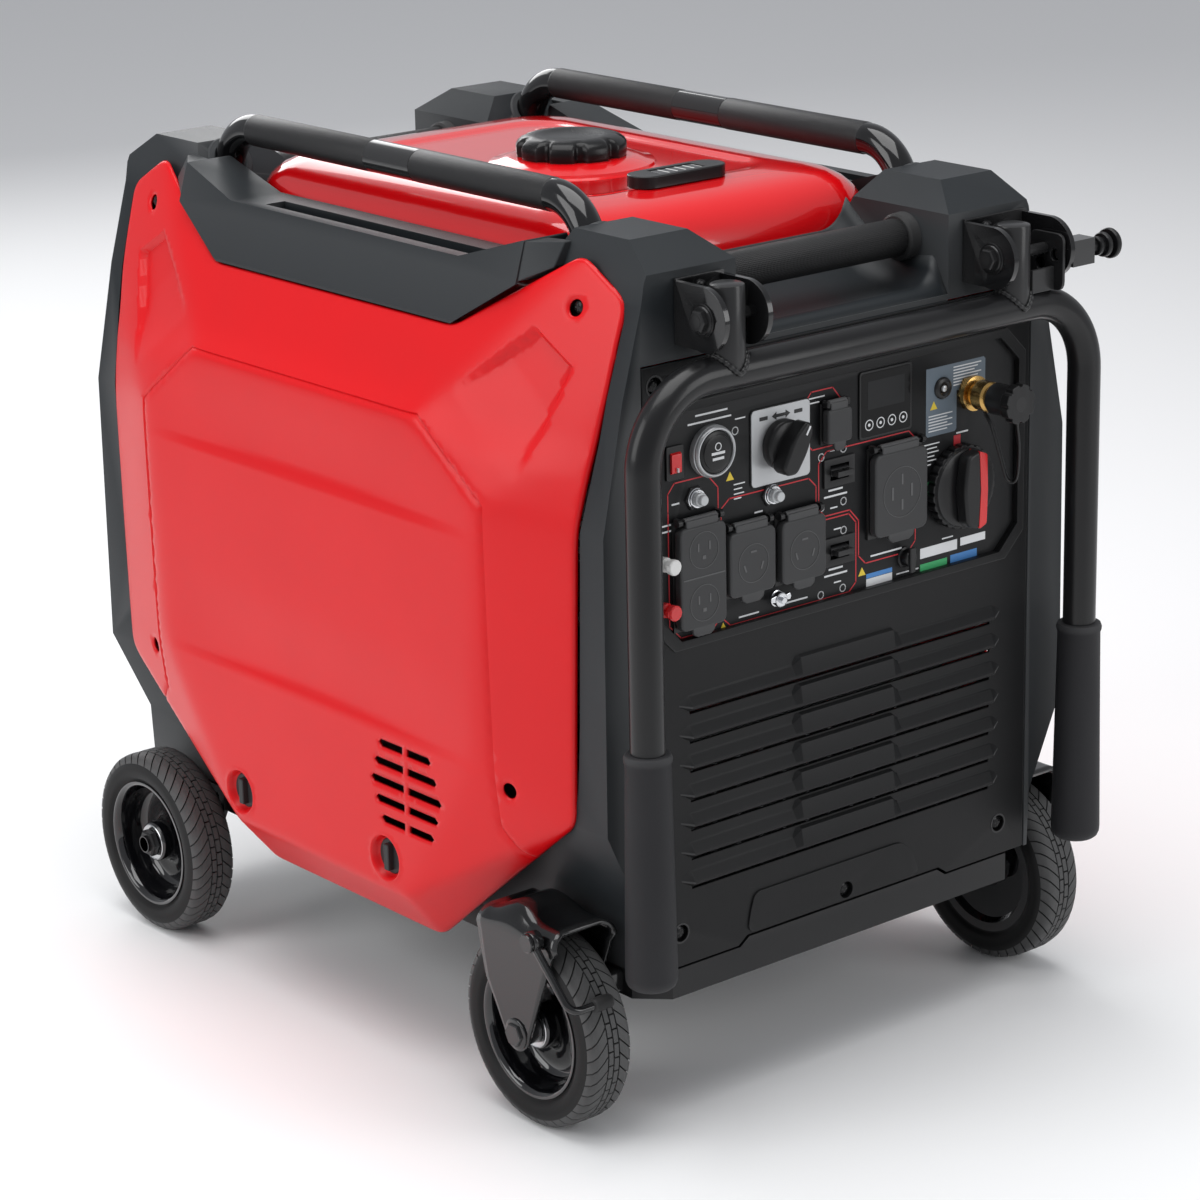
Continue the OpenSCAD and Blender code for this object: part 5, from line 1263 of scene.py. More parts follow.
brake_y, brake_z = fork_y - 0.032, wheel_r + 0.094
for side, label in ((-1, "left"), (1, "right")):
    parts = [fork_shell("shell", side)]
    near, far = sorted((side * tray_x, side * (cheek_in + 0.001)))
    parts.append(slab("flange", soft_box(0.0425, 0.0105, 0.004, 3), "X", near, far, gloss_coat, 0.0015))
    for vertex in parts[-1].data.vertices:
        vertex.co.y += fork_y - 0.0025
        vertex.co.z += base_z + 0.0135
    parts.append(turned("axle", [(0, cheek_in), (0.008, cheek_in), (0.008, cheek_out + 0.0042),
                                 (0.0075, cheek_out + 0.0049), (0, cheek_out + 0.0049)],
                        (0, fork_y, wheel_r), (side, 0, 0), gloss_coat, 32))
    parts.append(turned("spacer", [(0.0082, wheel_out - 0.0075), (0.012, wheel_out - 0.0075),
                                   (0.012, cheek_out - 0.003), (0.0082, cheek_out - 0.003)],
                        (0, fork_y, wheel_r), (side, 0, 0), gloss_coat, 32))
    parts.append(turned("washer", [(0, cheek_out), (0.0135, cheek_out), (0.0135, cheek_out + 0.0012),
                                   (0.0125, cheek_out + 0.0018), (0, cheek_out + 0.0018)],
                        (0, fork_y, wheel_r), (side, 0, 0), gloss_coat, 40))
    parts.append(turned("nut", [(0, cheek_out + 0.0018), (0.0105, cheek_out + 0.0018),
                                (0.0105, cheek_out + 0.0040),
                                (0.0095, cheek_out + 0.0048), (0, cheek_out + 0.0048)],
                        (0, fork_y, wheel_r), (side, 0, 0), gloss_coat, 6))
    if side < 0:
        parts.append(turned("brake_pin", [(0, cheek_out), (0.0048, cheek_out),
                                          (0.0048, cheek_out + 0.0105), (0.008, cheek_out + 0.0105),
                                          (0.008, cheek_out + 0.0128),
                                          (0.0072, cheek_out + 0.0134), (0, cheek_out + 0.0134)],
                            (0, brake_y, brake_z), (side, 0, 0), gloss_coat, 28))
    fit(merged(label + "_fork_pressing", parts), "chassis", "bracket_steel", label + "_wheel_fork")

# ---- Foot brake ----
# A bent wire with a studded rubber pad that presses on the left front tyre.
brake_x, pad_r = cheek_out + 0.0065, 0.006
pad_y = fork_y - 0.0804
pad_z = wheel_r + math.sqrt((wheel_r + pad_r + 0.0008) ** 2 - 0.0804 ** 2)
pad_in = wheel_out - 0.026
down = Vector((0, pad_y - brake_y, pad_z - brake_z)).normalized()
turns = [Vector((-brake_x, brake_y, brake_z)), Vector((-brake_x, pad_y, pad_z)),
         Vector((-pad_in - 0.016, pad_y, pad_z))]
wire_path = [turns[0] + (turns[1] - turns[0]) * t for t in (0.0, 0.3, 0.6)]
fillet = 0.011
before, after = turns[1] - down * fillet, turns[1] + Vector((fillet, 0, 0))
wire_path += [(1 - t) ** 2 * before + 2 * t * (1 - t) * turns[1] + t * t * after
              for t in (i / 10 for i in range(11))]
wire_path.append(turns[2])
parts = [swept("wire", wire_path, 0.0035, gloss_coat, 24),
         turned("sleeve", [(0.0053, cheek_out + 0.0006), (0.0085, cheek_out + 0.0006),
                           (0.009, cheek_out + 0.0016), (0.009, brake_x + 0.0024),
                           (0.0085, brake_x + 0.0034), (0.0053, brake_x + 0.0034)],
                (0, brake_y, brake_z), (-1, 0, 0), gloss_coat, 36),
         turned("pad", [(0, pad_in), (0.0045, pad_in + 0.0003), (0.0058, pad_in + 0.0018),
                        (0.006, pad_in + 0.004), (0.006, pad_in + 0.017),
                        (0.0052, pad_in + 0.0192), (0.0036, pad_in + 0.020), (0, pad_in + 0.020)],
                (0, pad_y, pad_z), (-1, 0, 0), rubber, 28)]
fit(merged("brake_wire", parts), "brake_lever", "brake_wire", "brake_lever")

# ---- Control panel ----
# A satin black panel with red outlines that group the outlets with their breakers. The
# print is generic: outlines, marks and short bars stand where the legends are.
panel_black = finish("panel_black", (0.0042, 0.0045, 0.0052), 0.34, grain=1500.0, depth=0.18, specular=0.16)
print_red = finish("print_red", (0.55, 0.010, 0.020), 0.4)
print_white = finish("print_white", (0.72, 0.73, 0.74), 0.45)
print_slate = finish("print_slate", (0.115, 0.150, 0.185), 0.42)
print_yellow = finish("print_yellow", (0.75, 0.55, 0.03), 0.4)
print_green = finish("print_green", (0.04, 0.42, 0.14), 0.4)
print_blue = finish("print_blue", (0.05, 0.22, 0.55), 0.4)
face_y = -(half_len - 0.005)
fit(eased_copy("panel_sheet", "control_panel", panel_black, 0.0003, 1),
    "chassis", "panel_print", "control_panel")


def on_panel(points):
    """Panel millimetres to the frame's X and Z."""
    return [(x / 1000, panel_mid + z / 1000) for x, z in points]


def patch(outline, material, proud=0.0002):
    """A thin printed patch on the panel."""
    return slab("patch", on_panel(outline), "Y", face_y - proud, face_y + 0.0002, material, 0)


def stripe(points, width, material, closed=True, proud=0.0002):
    """A printed line of even width through the points."""
    pieces = []
    pairs = list(zip(points, points[1:] + points[:1])) if closed else list(zip(points, points[1:]))
    for a, b in pairs:
        a, b = Vector(a), Vector(b)
        run = (b - a).normalized()
        side = Vector((-run.y, run.x)) * width / 2
        a, b = a - run * width * 0.42, b + run * width * 0.42
        pieces.append(patch([tuple(a - side), tuple(b - side), tuple(b + side), tuple(a + side)], material,
                            proud))
    return pieces


outlines = [
    [(-188, 13), (-188, 28), (-181, 36), (-146, 36), (-135, 24), (-135, -87),
     (-142, -94), (-176, -94), (-188, -82)],
    [(-132, 5), (-123, 12), (-36, 12), (-28, 4), (-28, -19), (-19, -27),
     (9, -27), (17, -36), (17, -88), (9, -95),
     (-123, -95), (-132, -87)],
    [(-25, 22), (-16, 31), (78, 31), (86, 23), (86, -66), (78, -74), (28, -74), (20, -66), (20, -35), (10, -24),
     (-18, -24), (-25, -17)]]
prints = []
for outline in outlines:
    prints += stripe(outline, 1.0, print_red)
prints += stripe([(0, 73), (-9, 84), (-33, 84), (-41, 75), (-41, 44), (-32, 35), (2, 35)], 1.0, print_red,
                 False)
prints.append(patch([(98, 80), (166, 80), (168, 78), (168, 58), (166, 56), (134, 56), (134, 23), (132, 21),
                     (100, 21), (98, 23), (98, 78)], print_slate, 0.0001))
# Short bars in place of legends: left end, height, length and thickness.
bars = [(-158, 86, 34, 1.5), (-166, 80, 46, 1.5), (-116, 76, 11, 1.1), (-118, 22, 12, 1.0), (-118, 18, 9, 1.0),
        (-118, 14, 11, 1.0), (-118, 10, 8, 1.0), (-196, 2, 16, 1.4), (-196, -3, 14, 1.4), (-184, 18, 8, 1.4),
        (-96, -6, 9, 1.4), (-14, -4, 16, 1.6), (-19, -9, 26, 1.6), (-12, 30, 10, 1.2), (-12, -19, 8, 1.2),
        (-14, -72, 16, 1.6), (-19, -77, 26, 1.6), (-8, -38, 8, 1.2), (-8, -84, 8, 1.2), (-72, -90, 34, 1.4),
        (-114, -91, 22, 1.4), (34, -70, 36, 1.5), (92, 14, 22, 1.0), (92, 10.5, 19, 1.0), (92, 7, 21, 1.0),
        (92, 3.5, 16, 1.0), (92, 0, 18, 1.0), (92, -3.5, 12, 1.0), (134, 18, 14, 1.4), (118, -72, 13, 1.2),
        (64, -92, 26, 1.2), (-36, 78, 18, 1.1), (-36, 74, 12, 1.1)]
for x, z, length, height in bars:
    prints.append(patch([(x, z), (x + length, z), (x + length, z + height), (x, z + height)], print_white))
for i in range(7):
    prints.append(patch([(130, 76 - i * 2.6), (163 - (i % 3) * 4, 76 - i * 2.6),
                         (163 - (i % 3) * 4, 77 - i * 2.6),
                         (130, 77 - i * 2.6)], print_white))
for i in range(6):
    prints.append(patch([(101, 38 - i * 2.6), (129 - (i % 2) * 6, 38 - i * 2.6),
                         (129 - (i % 2) * 6, 39 - i * 2.6),
                         (101, 39 - i * 2.6)], print_white))
# Ratings are shown as blank blocks of their colours.
for x, z, length, height, material in (
        (92, -84, 44, 9, print_white), (140, -82, 30, 7, print_white), (92, -96, 32, 7, print_green),
        (128, -95, 32, 7, print_blue), (29, -88, 30, 4, print_blue), (29, -96, 30, 7.6, print_white),
        (96, -27, 7, 9, print_green), (131, 8, 8, 9, print_red)):
    prints.append(patch([(x, z), (x + length, z), (x + length, z + height), (x, z + height)], material))
for x, z in ((-122, 27), (107, 44), (87, 16), (-131, -98), (24, -84)):
    prints.append(patch([(x - 4.2, z), (x + 4.2, z), (x, z + 7.2)], print_yellow))
for x, z in ((-22, 27), (3, 30), (-22, -16), (3, -15), (-21, -42), (3, -40), (-23, -91), (2, -90), (-116, 67)):
    prints += stripe([(x + 3.2 * math.cos(a * math.pi / 5), z + 3.2 * math.sin(a * math.pi / 5))
                      for a in range(10)],
                     0.8, print_white)
fit(merged("panel_marks", prints), "chassis", "panel_print")

# ---- Panel fittings ----
# Start ring, selector plate, display, charging-port frame, indicator light, remote port,
# ground and parallel terminals, reset collars and the rocker's frame, all held from behind.
chrome = finish("chrome", (0.62, 0.63, 0.65), 0.12, drift=0.04, grain=200.0, depth=0.02, metallic=1.0)
satin_silver = finish("satin_silver", (0.50, 0.51, 0.52), 0.34, grain=700.0, depth=0.15, metallic=0.55)
fitting_black = finish("fitting_black", (0.0055, 0.0055, 0.006), 0.30, grain=1200.0, depth=0.15, specular=0.3)
gloss_glass = finish("display_glass", (0.0012, 0.0012, 0.0015), 0.08, drift=0.0,
                     grain=100.0, depth=0.0, specular=0.12)
terminal_white = finish("terminal_white", (0.78, 0.78, 0.76), 0.35)
signal_red = finish("signal_red", (0.62, 0.010, 0.012), 0.25, coat=0.5)


def knob(name, at, profile, material, count=48, smooth_to=32.0):
    """A turned piece standing out of the panel: radius and height above its face, in millimetres."""
    (x, z), = on_panel([at])
    return turned(name, [(r / 1000, h / 1000) for r, h in profile], (x, face_y, z),
                  (0, -1, 0), material, count, smooth_to)


def tile(name, at, size, radius, low, high, material, edge=0.6):
    """A rounded rectangular piece standing out of the panel, in millimetres."""
    outline = [(at[0] + a * 1000, at[1] + b * 1000)
               for a, b in soft_box(size[0] / 2000, size[1] / 2000, radius / 1000, 4)]
    return slab(name, on_panel(outline), "Y", face_y - high / 1000, face_y - low / 1000, material, edge / 1000)


def bar(name, at, outline, low, high, material, edge=0.6):
    """Any outline standing out of the panel, in millimetres from the item's centre."""
    points = on_panel([(at[0] + a, at[1] + b) for a, b in outline])
    return slab(name, points, "Y", face_y - high / 1000, face_y - low / 1000, material, edge / 1000)


start_at, selector_at, fuel_at, gas_at, rocker_at = (-143, 56), (-68, 48), (135, -27), (149, 52), (-181, 53)
display_at, usb_at, light_at, port_at, ground_at = (50, 62), (-10, 55), (117, 61), (74, -78), (-74, -82)
fittings = [
    knob("ring_body", start_at, [(17.9, 0), (21.5, 0), (21.5, 5.0), (20.8, 5.6), (17.9, 5.6)], satin_silver,
         72),
    knob("ring", start_at, [(17.9, 5.0), (20.9, 5.2), (21.1, 6.2), (20.6, 7.8), (19.6, 8.9),
                            (18.6, 8.9), (17.9, 8.0)], satin_silver, 96),
    tile("selector_plate", selector_at, (64, 64), 4, 0, 2.0, satin_silver, 0.5),
    tile("selector_frame", selector_at, (65.5, 65.5), 4.5, 0, 1.2, fitting_black, 0.4),
    bar("arrow", (selector_at[0], selector_at[1] + 24), [(-10, 0), (-5, -3.4), (-5, -1.3),
                                                         (5, -1.3), (5, -3.4), (10, 0), (5, 3.4),
                                                         (5, 1.3), (-5, 1.3), (-5, 3.4)], 1.9, 2.15,
        fitting_black, 0),
    tile("dial_left", (selector_at[0] - 19, selector_at[1] + 24), (9, 3.2), 0.4, 1.9, 2.12, fitting_black, 0),
    tile("dial_right", (selector_at[0] + 19, selector_at[1] + 24), (9, 3.2), 0.4, 1.9, 2.12, fitting_black, 0),
    tile("display_bezel", display_at, (60, 58), 3, 0, 1.6, fitting_black, 0.6),
    tile("display_glass", display_at, (56, 54), 2, 1.2, 1.9, gloss_glass, 0.3),
    tile("display_screen", (display_at[0], display_at[1] + 8), (42, 24), 1, 1.7, 2.0,
         finish("screen_film", (0.0035, 0.0040, 0.0050), 0.2, specular=0.1), 0),
    knob("light_base", light_at, [(0, 0), (9.5, 0), (9.5, 1.4), (8.6, 2.6), (6.4, 3.4), (4.6, 2.2), (0, 2.2)],
         fitting_black, 40),
    knob("light_lens", light_at, [(0, 2.0), (3.0, 2.0), (2.6, 3.2), (1.4, 3.9), (0, 4.0)], satin_silver, 24),
    knob("port_boot", port_at, [(0, 0), (9, 0), (9, 1.2), (7.6, 2.0), (7.0, 7.0), (6.0, 8.4), (0, 8.4)],
         fitting_black, 32),
    bar("port_tab", port_at, [(-3, -12), (3, -12), (3.4, 0), (3.2, 10), (-3.2, 10), (-3.4, 0)], 7.4, 10.6,
        fitting_black, 1.2),
    knob("ground_stud", ground_at, [(0, 0), (7, 0), (7, 2.6), (6.0, 3.0), (4.0, 3.0), (4.0, 3.6),
                                    (6.2, 4.0), (6.2, 8.4), (5.4, 9.0),
                                    (3.0, 9.0), (3.0, 11.6), (2.4, 12.0), (0, 12.0)], chrome, 24, 25),
    tile("rocker_frame", rocker_at, (18, 28), 1.5, 0, 1.9, fitting_black, 0.5),
]
for s in (-1, 1):
    fittings.append(bar("wing", (ground_at[0] + s * 7.5, ground_at[1] + 1),
                        [(-3.4, -2.2), (2.6, -3.0), (4.0, 0), (2.6, 3.4), (-3.4, 2.2)],
                        4.6, 7.8, chrome, 0.8))
for i in range(4):
    centre = (display_at[0] - 19.5 + i * 13, display_at[1] - 17)
    fittings += [knob("icon_ring", centre, [(3.9, 1.7), (4.7, 1.7), (4.7, 2.06), (3.9, 2.06)], print_white, 28),
                 knob("icon_dot", centre, [(0, 1.7), (1.5, 1.7), (1.5, 2.05), (0, 2.05)], print_white, 6)]
for at in ((-160, 20), (-78, 7)):
    fittings.append(knob("reset_collar", at, [(6.1, 0), (8.5, 0), (8.5, 2.6), (7.9, 3.0), (7.9, 4.4),
                                              (7.3, 5.0), (6.1, 5.0)], chrome, 40))
    fittings.append(knob("reset_nut", at, [(8.0, 0), (10.4, 0), (10.4, 1.8), (9.6, 2.4), (8.0, 2.4)],
                         fitting_black, 6))
for at, material in (((-194, -28), terminal_white), ((-194, -66), signal_red)):
    fittings.append(knob("terminal", at, [(0, 0), (6.2, 0), (6.2, 4.5), (4.6, 6.0), (4.4, 9.0), (6.4, 10.5),
                                          (6.6, 15.0), (5.6, 16.0), (0, 16.0)], material, 12, 20))
    fittings.append(tile("terminal_wing", (at[0], at[1]), (15, 5), 2, 9.5, 14.5, material, 1.2))
usb_frame = [(usb_at[0] + a, usb_at[1] + b) for a, b in ((-14, -17.5), (14, -17.5), (14, 17.5), (-14, 17.5))]
fittings.append(bar("usb_frame", (0, 0), usb_frame, 0, 1.9, fitting_black, 0.5))
fittings.append(tile("usb_barrel", (usb_at[0] - 11, usb_at[1] + 17.5), (4, 6.6), 2, 1.5, 9.0, fitting_black,
                     1.4))
fittings.append(tile("usb_barrel", (usb_at[0] + 11, usb_at[1] + 17.5), (4, 6.6), 2, 1.5, 9.0, fitting_black,
                     1.4))
fit(merged("panel_fitting_set", fittings), "chassis", "panel_fittings", "panel_fittings")

# ---- Outlets and their covers ----
# Each outlet is a moulded block behind the panel. Its cover is thick soft-edged plastic,
# sprung on a hinge barrel along the top, with a pull tab below and the outlet's form embossed.
fit(eased_copy("outlet_blocks", "receptacles", fitting_black, 0.0005, 2),
    "chassis", "black_plastic", "receptacles")
fit(eased_copy("breaker_blocks", "breaker_bodies", fitting_black, 0.0006, 2), "chassis",
    "black_plastic", "breaker_bodies")
cover_satin = finish("cover_satin", (0.0105, 0.0110, 0.0122), 0.42, drift=0.12, grain=1300.0,
                     depth=0.25, painted_highlight=0.15, specular=0.28)


def emboss_ring(at, radius):
    return knob("emboss", at, [(radius - 0.7, 10.4), (radius, 10.4), (radius - 0.1, 11.35),
                               (radius - 0.6, 11.35)], cover_satin, 48, 60)


def emboss_slot(at, size, turn=0.0):
    c, s = math.cos(math.radians(turn)), math.sin(math.radians(turn))
    corners = [(-size[0] / 2, -size[1] / 2), (size[0] / 2, -size[1] / 2),
               (size[0] / 2, size[1] / 2), (-size[0] / 2, size[1] / 2)]
    return bar("slot", at, [(a * c - b * s, a * s + b * c) for a, b in corners], 10.6, 11.3, cover_satin, 0)


def flip_cover(node, at, size, rings, slots):
    """A cover with its barrel, tab and embossing, in millimetres."""
    w, h = size
    radius = min(w, h) * 0.13
    parts = [tile("lid", (at[0], at[1] - 1.2), (w - 1, h - 6.0), radius, 2.4, 11.0, cover_satin, 2.2),
             bar("tab", at, [(-w * 0.25, -h / 2 + 4), (-w * 0.23, -h / 2 - 2),
                             (-w * 0.14, -h / 2 - 5), (w * 0.14, -h / 2 - 5),
                             (w * 0.23, -h / 2 - 2), (w * 0.25, -h / 2 + 4)], 7.0, 10.6, cover_satin, 1.3),
             bar("strap", at, [(-w * 0.34, h / 2 - 8), (w * 0.34, h / 2 - 8), (w * 0.34, h / 2 + 1.5),
                               (-w * 0.34, h / 2 + 1.5)], 5.6, 9.8, cover_satin, 1.2)]
    (x, z), = on_panel([(at[0], at[1] + h / 2)])
    parts.append(turned("barrel", [(0.0016, -w * 0.00034), (0.0032, -w * 0.00034),
                                   (0.0032, w * 0.00034), (0.0016, w * 0.00034)],
                        (x, face_y - 0.0057, z), (1, 0, 0), cover_satin, 28))
    parts += [emboss_ring((at[0] + a, at[1] + b), r) for a, b, r in rings]
    parts += [emboss_slot((at[0] + a, at[1] + b), (c, d), t) for a, b, c, d, t in slots]
    fit(merged(node + "_lid", parts), node, "cover_plastic", node)


face_slots = [(-6, 3, 1.6, 7, 0), (6, 3, 1.6, 7, 0), (0, -6, 3.6, 3.0, 0)]
duplex_slots = [(a, b + off, c, d, t) for off in (21, -23)
                for a, b, c, d, t in face_slots] + [(0, -1, 44, 1.0, 0)]
curved = [(13 * math.cos(math.radians(a)) * 0.75, 13 * math.sin(math.radians(a)) * 0.75,
           1.6, 6.5, a) for a in (90, 200, 340)]
flip_cover("duplex_cover", (-160, -42), (50, 92), [(0, 21, 15.5), (0, -23, 15.5)], duplex_slots)
flip_cover("left_locking_cover", (-107, -41), (51, 61), [(0, -2, 16.5)],
           [(a, b - 2, c, d, t) for a, b, c, d, t in curved])
flip_cover("right_locking_cover", (-50.5, -42), (50, 60), [(0, -2, 16.5)],
           [(a, b - 2, c, d, t) for a, b, c, d, t in curved])
flip_cover("range_cover", (60, -15), (62, 78), [(0, -1, 22)], [(-11, -1, 2.0, 11, 0), (11, -1, 2.0, 11, 0),
                                                               (0, 10, 2.0, 9, 0), (0, -12, 2.2, 9, 0)])
flip_cover("usb_cover", (-10, 55), (28, 35), [], [])

# ---- Switches and knobs ----
# Two hinged toggles, two push-to-reset buttons, the start button, the rocker, the voltage
# selector with its pointer, and the big fuel selector with its red pointer bar.
toggle_black = finish("toggle_black", (0.005, 0.005, 0.0056), 0.25, grain=900.0, depth=0.1)
for node in ("upper_breaker_toggle", "lower_breaker_toggle"):
    fit(eased_copy(node + "_bar", node, toggle_black, 0.0008, 3), node, "knob_plastic", node)
pale_cap = finish("pale_cap", (0.55, 0.57, 0.58), 0.12, drift=0.2, coat=0.8)
for node, at in (("left_reset_button", (-160, 20)), ("right_reset_button", (-78, 7))):
    fit(knob(node + "_cap", at, [(0, -6), (5.9, -6), (5.9, 8.4), (5.4, 9.0), (4.4, 9.2),
                                 (4.3, 12.2), (3.8, 12.9), (0, 13.0)],
             pale_cap, 36), node, "clear_cap", node)
button = [knob("button", start_at, [(0, -8), (17.4, -8), (17.4, 7.4), (16.8, 8.2), (15.6, 8.5), (14.6, 8.9),
                                    (14.2, 9.6), (12, 10.1), (0, 10.3)],
               fitting_black, 72),
          knob("mark_ring", (start_at[0], start_at[1] + 5.0),
               [(2.6, 9.9), (3.4, 9.9), (3.4, 10.45), (2.6, 10.45)], print_white, 30)]
for x, z, length in ((-7, -1.5, 14), (-6, -6.0, 12)):
    button.append(bar("mark", start_at, [(x, z), (x + length, z), (x + length, z + 2.2), (x, z + 2.2)], 9.9,
                      10.42, print_white, 0))
fit(merged("start_button_face", button), "start_button", "button_plastic", "start_button")
rocker = [eased_copy("rocker", "rocker_switch", signal_red, 0.0008, 3)]
rocker.append(bar("rocker_mark", rocker_at, [(-0.5, -7), (0.5, -7), (0.5, -3.6), (-0.5, -3.6)], 3.0, 6.1,
                  print_white, 0))
fit(merged("rocker_paddle", rocker), "rocker_switch", "rocker_red", "rocker_switch")


def turned_by(outline, degrees):
    c, s = math.cos(math.radians(degrees)), math.sin(math.radians(degrees))
    return [(a * c - b * s, a * s + b * c) for a, b in outline]


knob_black = finish("knob_black", (0.005, 0.005, 0.0056), 0.3, grain=1000.0, depth=0.12, painted_highlight=0.05)
blade_line = rounded([(-8, -22), (0, -25), (9, -20), (10, 0), (6.5, 18), (1.5, 23), (-4, 22), (-9.5, 4)], 6, 4)
selector = [knob("selector_base", selector_at, [(0, 2.6), (21, 2.6), (21, 9), (20.2, 10.4),
                                                (18.2, 11.6), (0, 11.8)], knob_black, 72),
            bar("selector_blade", selector_at, turned_by(blade_line, -32), 9, 25.5, knob_black, 3.0),
            bar("selector_mark", selector_at, turned_by([(-0.9, 12), (0.9, 12), (0.9, 20), (-0.9, 20)], -32),
                25, 25.8, print_white, 0)]
fit(merged("selector_pointer", selector), "selector_knob", "knob_plastic", "selector_knob")
dial_edge = scalloped(36.8, 1.6, 26, 208)
grip_line = rounded([(-11, -31), (4, -34.5), (11, -31), (12, 0), (11, 31), (4, 34.5), (-11, 31), (-15, 0)], 8,
                    4)
red_line = rounded([(1.6, -34.3), (10.6, -30.6), (11.8, 0), (10.6, 30.6), (1.6, 34.3), (3.6, 0)], 2, 3)
fuel = [bar("dial", fuel_at, dial_edge, 0.8, 9.5, knob_black, 0.8),
        knob("dial_face", fuel_at, [(0, 9.0), (34.5, 9.0), (33.5, 11.5), (28, 13.2), (0, 13.8)], knob_black,
             72),
        bar("grip_bar", fuel_at, grip_line, 12, 25.3, knob_black, 3.2),
        bar("pointer", fuel_at, red_line, 12.4, 25.9, signal_red, 1.0)]
fit(merged("fuel_selector", fuel), "fuel_knob", "knob_plastic", "fuel_knob")

# ---- Gas inlet ----
# A brass fitting with a hexagon and a black sleeve, closed by a lobed plastic cap that
# hangs on two rubber straps.
brass = finish("satin_brass", (0.60, 0.37, 0.12), 0.24, drift=0.15, grain=500.0, depth=0.15, metallic=1.0)
gas_r, gas_len = 10.5, 46.0
inlet = [knob("inlet_pipe", gas_at, [(0, -20), (gas_r, -20), (gas_r, 4), (gas_r + 4.6, 4),
                                     (gas_r + 4.6, 8), (gas_r, 9), (gas_r, 13),
                                     (gas_r + 2.4, 14), (gas_r + 2.4, 25), (gas_r + 1.4, 26), (gas_r, 27),
                                     (gas_r, gas_len), (0, gas_len)], brass, 48),
         knob("inlet_hex", gas_at, [(gas_r - 1, 0.2), (gas_r + 4.6, 0.2), (gas_r + 4.6, 3.4),
                                    (gas_r + 3.8, 4.2), (gas_r - 1, 4.2)], brass, 6)]
fit(merged("gas_inlet_brass", inlet), "chassis", "brass", "gas_inlet")
wheel_edge = scalloped(17.0, 2.2, 8, 128)
cap_parts = [knob("cap_sleeve", gas_at, [(gas_r + 0.1, gas_len - 15.5),
                                         (gas_r + 2.4, gas_len - 15.5), (gas_r + 3.0, gas_len - 14.5),
                                         (gas_r + 3.0, gas_len + 5), (gas_r + 1.5, gas_len + 7),
                                         (0, gas_len + 7), (0, gas_len + 0.5), (gas_r + 0.1, gas_len + 0.5)],
                  fitting_black, 48),
             bar("cap_wheel", gas_at, wheel_edge, gas_len + 6, gas_len + 14.8, fitting_black, 1.2),
             knob("cap_boss", gas_at, [(0, gas_len + 14), (7, gas_len + 14), (6.2, gas_len + 14.9),
                                       (0, gas_len + 14.9)], fitting_black, 32)]
fit(merged("gas_cap_wheel", cap_parts), "gas_cap", "cap_plastic", "gas_cap")
(gas_x, gas_z), = on_panel([gas_at])
strap_line = [(gas_x - 0.004, face_y - 0.022, gas_z - 0.012), (gas_x - 0.001, face_y - 0.029, gas_z - 0.026),
              (gas_x + 0.006, face_y - 0.033, gas_z - 0.054), (gas_x + 0.011, face_y - 0.035, gas_z - 0.071),
              (gas_x + 0.015, face_y - 0.038, gas_z - 0.074), (gas_x + 0.016, face_y - 0.042, gas_z - 0.066),
              (gas_x + 0.013, face_y - 0.046, gas_z - 0.040), (gas_x + 0.006, face_y - 0.049, gas_z - 0.014)]
strap = swept("gas_cap_tether", curve_through(strap_line, 6), 0.0026, fitting_black, 16, 60, 0.55)
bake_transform(strap)

# ---- Screws and bolts ----
# Black pan-head screws hold the mouldings, each cross recess shown as a near-black cross of painted shade standing
# on the head, and hex bolts with washers carry the handle brackets. Each kind is one head repeated at its places.
screw_black = finish("screw_black", (0.009, 0.009, 0.0097), 0.22, grain=400.0, depth=0.1, metallic=0.4)
# Near-black for the cross recess: painted shade, laid on the head as a thin raised cross rather than cut in.
painted_recess_shade = finish("painted_recess_shade", (0.002, 0.002, 0.002), 0.6)

# Copies the piece to every point of another mesh, its Z turned to that point's Aim.
spot_tree, spot_in, spot_out = geometry_tree("placed_at", [("Spots", OBJECT), ("Finish", MATERIAL)])
spot_mesh = wire(spot_tree, "GeometryNodeObjectInfo", {"Object": spot_in.outputs["Spots"]})
spot_aim = wire(spot_tree, "GeometryNodeInputNamedAttribute", {"Name": "aim"}, data_type="FLOAT_VECTOR")
spot_turn = wire(spot_tree, "FunctionNodeAlignEulerToVector", {"Vector": spot_aim.outputs[0]}, axis="Z")
spot_set = wire(spot_tree, "GeometryNodeInstanceOnPoints", {
    "Points": spot_mesh.outputs["Geometry"], "Instance": spot_in.outputs["Geometry"],
    "Rotation": spot_turn.outputs[0]})
spot_real = wire(spot_tree, "GeometryNodeRealizeInstances", {"Geometry": spot_set.outputs["Instances"]})
spot_done = wire(spot_tree, "GeometryNodeSetMaterial", {
    "Geometry": spot_real.outputs["Geometry"], "Material": spot_in.outputs["Finish"]})
spot_tree.links.new(spot_done.outputs["Geometry"], spot_out.inputs["Geometry"])


def spots(name, places):
    """A mesh of loose points, each with the direction its screw faces."""
    mesh = bpy.data.meshes.new(name)
    mesh.from_pydata([p for p, _ in places], [], [])
    aims = mesh.attributes.new("aim", "FLOAT_VECTOR", "POINT")
    for item, (_, aim) in zip(aims.data, places):
        item.vector = aim
    made = bpy.data.objects.new(name, mesh)
    bpy.context.scene.collection.objects.link(made)
    return made


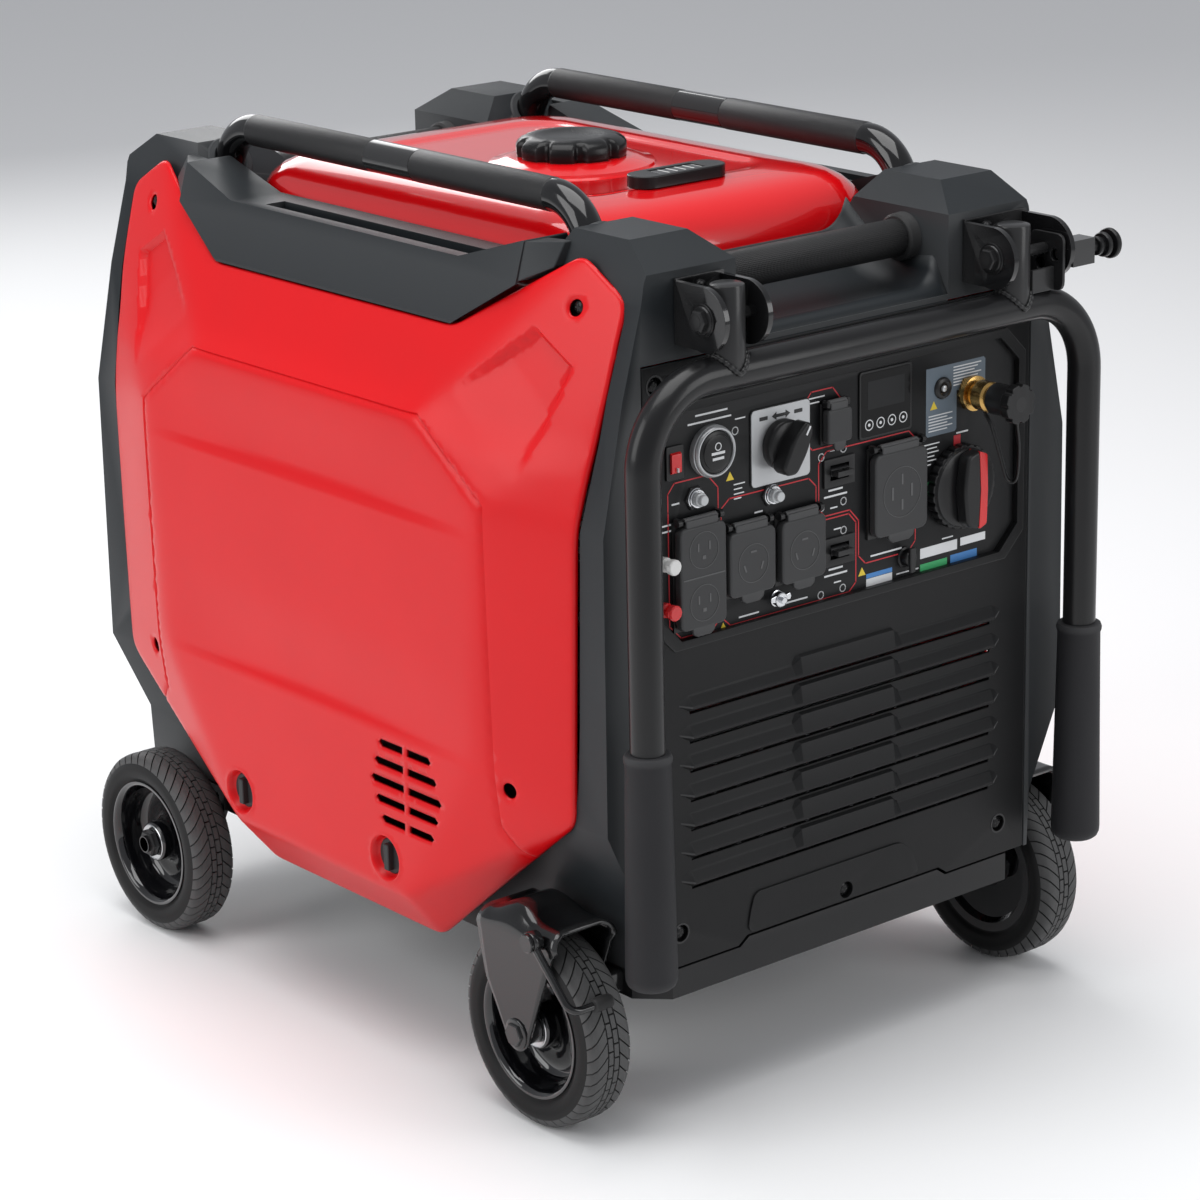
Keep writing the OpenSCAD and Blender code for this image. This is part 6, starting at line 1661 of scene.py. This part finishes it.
def heads(name, places, radius):
    """Pan heads at every place, each with a near-black cross of painted shade for its recess."""
    where = spots(name + "_spots", places)
    dome = [(0, -0.001), (radius, -0.001), (radius, 0.0008), (radius * 0.92, 0.0018), (radius * 0.7, 0.0026),
            (radius * 0.4, 0.0029), (0, 0.0029)]
    head = turned("head", dome, (0, 0, 0), (0, 0, 1), screw_black, 24)
    arm, thin = radius * 0.55, radius * 0.14
    cross = [(-arm, -thin), (-thin, -thin), (-thin, -arm), (thin, -arm),
             (thin, -thin), (arm, -thin), (arm, thin),
             (thin, thin), (thin, arm), (-thin, arm), (-thin, thin), (-arm, thin)]
    recess = slab("recess", cross, "Z", 0.0020, 0.00297, painted_recess_shade, 0)
    made = [grow_tree(head, spot_tree, "heads", Spots=where, Finish=screw_black),
            grow_tree(recess, spot_tree, "recesses", Spots=where, Finish=painted_recess_shade)]
    bpy.data.objects.remove(where)
    return made


ends = [((x * e, -(half_len - 0.004) * e, z), (0, -e, 0)) for e in (1, -1) for x, z in screw_places]
flanks = [((s * (panel_face - sink - 0.0075), t * y, z), (s, 0, 0))
          for (y, z), sink in zip(boss_places, (0.058, 0.015)) for t in (-1, 1) for s in (-1, 1)]
forks = [((s * (cheek_in + 0.001), fork_y - 0.002 + t * 0.028, base_z + 0.0135), (s, 0, 0))
         for s in (-1, 1) for t in (-1, 1)]
towers = [((s * stub_x, -(half_len + 0.004), pivot_z + d), (0, -1, 0))
          for s in (-1, 1) for d in (-0.016, 0.018)]
all_heads = heads("cover_screws", ends + towers, 0.0058) + heads("panel_screws", flanks + forks, 0.0054)


def hex_bolt(x, way):
    """A flanged hex head on a washer, on the pivot's line."""
    centre = (x, pivot_y, pivot_z)
    return [turned("washer", [(0, 0), (0.0135, 0), (0.0135, 0.0010), (0.0128, 0.0015), (0, 0.0015)],
                   centre, (way, 0, 0), screw_black, 40),
            turned("flange", [(0, 0.0015), (0.0115, 0.0015), (0.0108, 0.0026), (0, 0.0030)],
                   centre, (way, 0, 0), screw_black, 40),
            turned("hex", [(0, 0.0024), (0.0092, 0.0024), (0.0092, 0.0062), (0.0080, 0.0072), (0, 0.0072)],
                   centre, (way, 0, 0), screw_black, 6),
            turned("dimple", [(0, 0.0070), (0.0050, 0.0070), (0.0050, 0.0074), (0, 0.0074)],
                   centre, (way, 0, 0), screw_black, 24)]


near_ear = stub_x - 0.020 - ear_t
for x, way in ((near_ear, -1), (-near_ear, 1), (-(stub_x + 0.020 + ear_t), -1), (far_ear_x + ear_t, 1)):
    all_heads += hex_bolt(x, way)
for s, x in ((-1, stub_x + 0.022), (1, far_ear_x + 0.003)):
    lo, hi = sorted((s * (near_ear + 0.002), s * x))
    all_heads.append(swept("pivot_shank", [(lo, pivot_y, pivot_z), (hi, pivot_y, pivot_z)], 0.005, screw_black,
                           24))
for s in (-1, 1):
    all_heads.append(turned("axle_nut", [(0.0081, wheel_out - 0.0073),
                                         (0.0130, wheel_out - 0.0073), (0.0130, wheel_out - 0.0020),
                                         (0.0115, wheel_out - 0.0005), (0.0081, wheel_out - 0.0005)],
                            (0, axle_y, wheel_r), (s, 0, 0), screw_black, 6))
    all_heads.append(turned("axle_bolt", [(0, wheel_out - 0.004), (0.0079, wheel_out - 0.004),
                                          (0.0079, wheel_out + 0.0010), (0.0070, wheel_out + 0.0020),
                                          (0, wheel_out + 0.0020)],
                            (0, axle_y, wheel_r), (s, 0, 0), screw_black, 28))
fit(merged("screws_and_bolts", all_heads), "chassis", "black_screws", "fasteners")
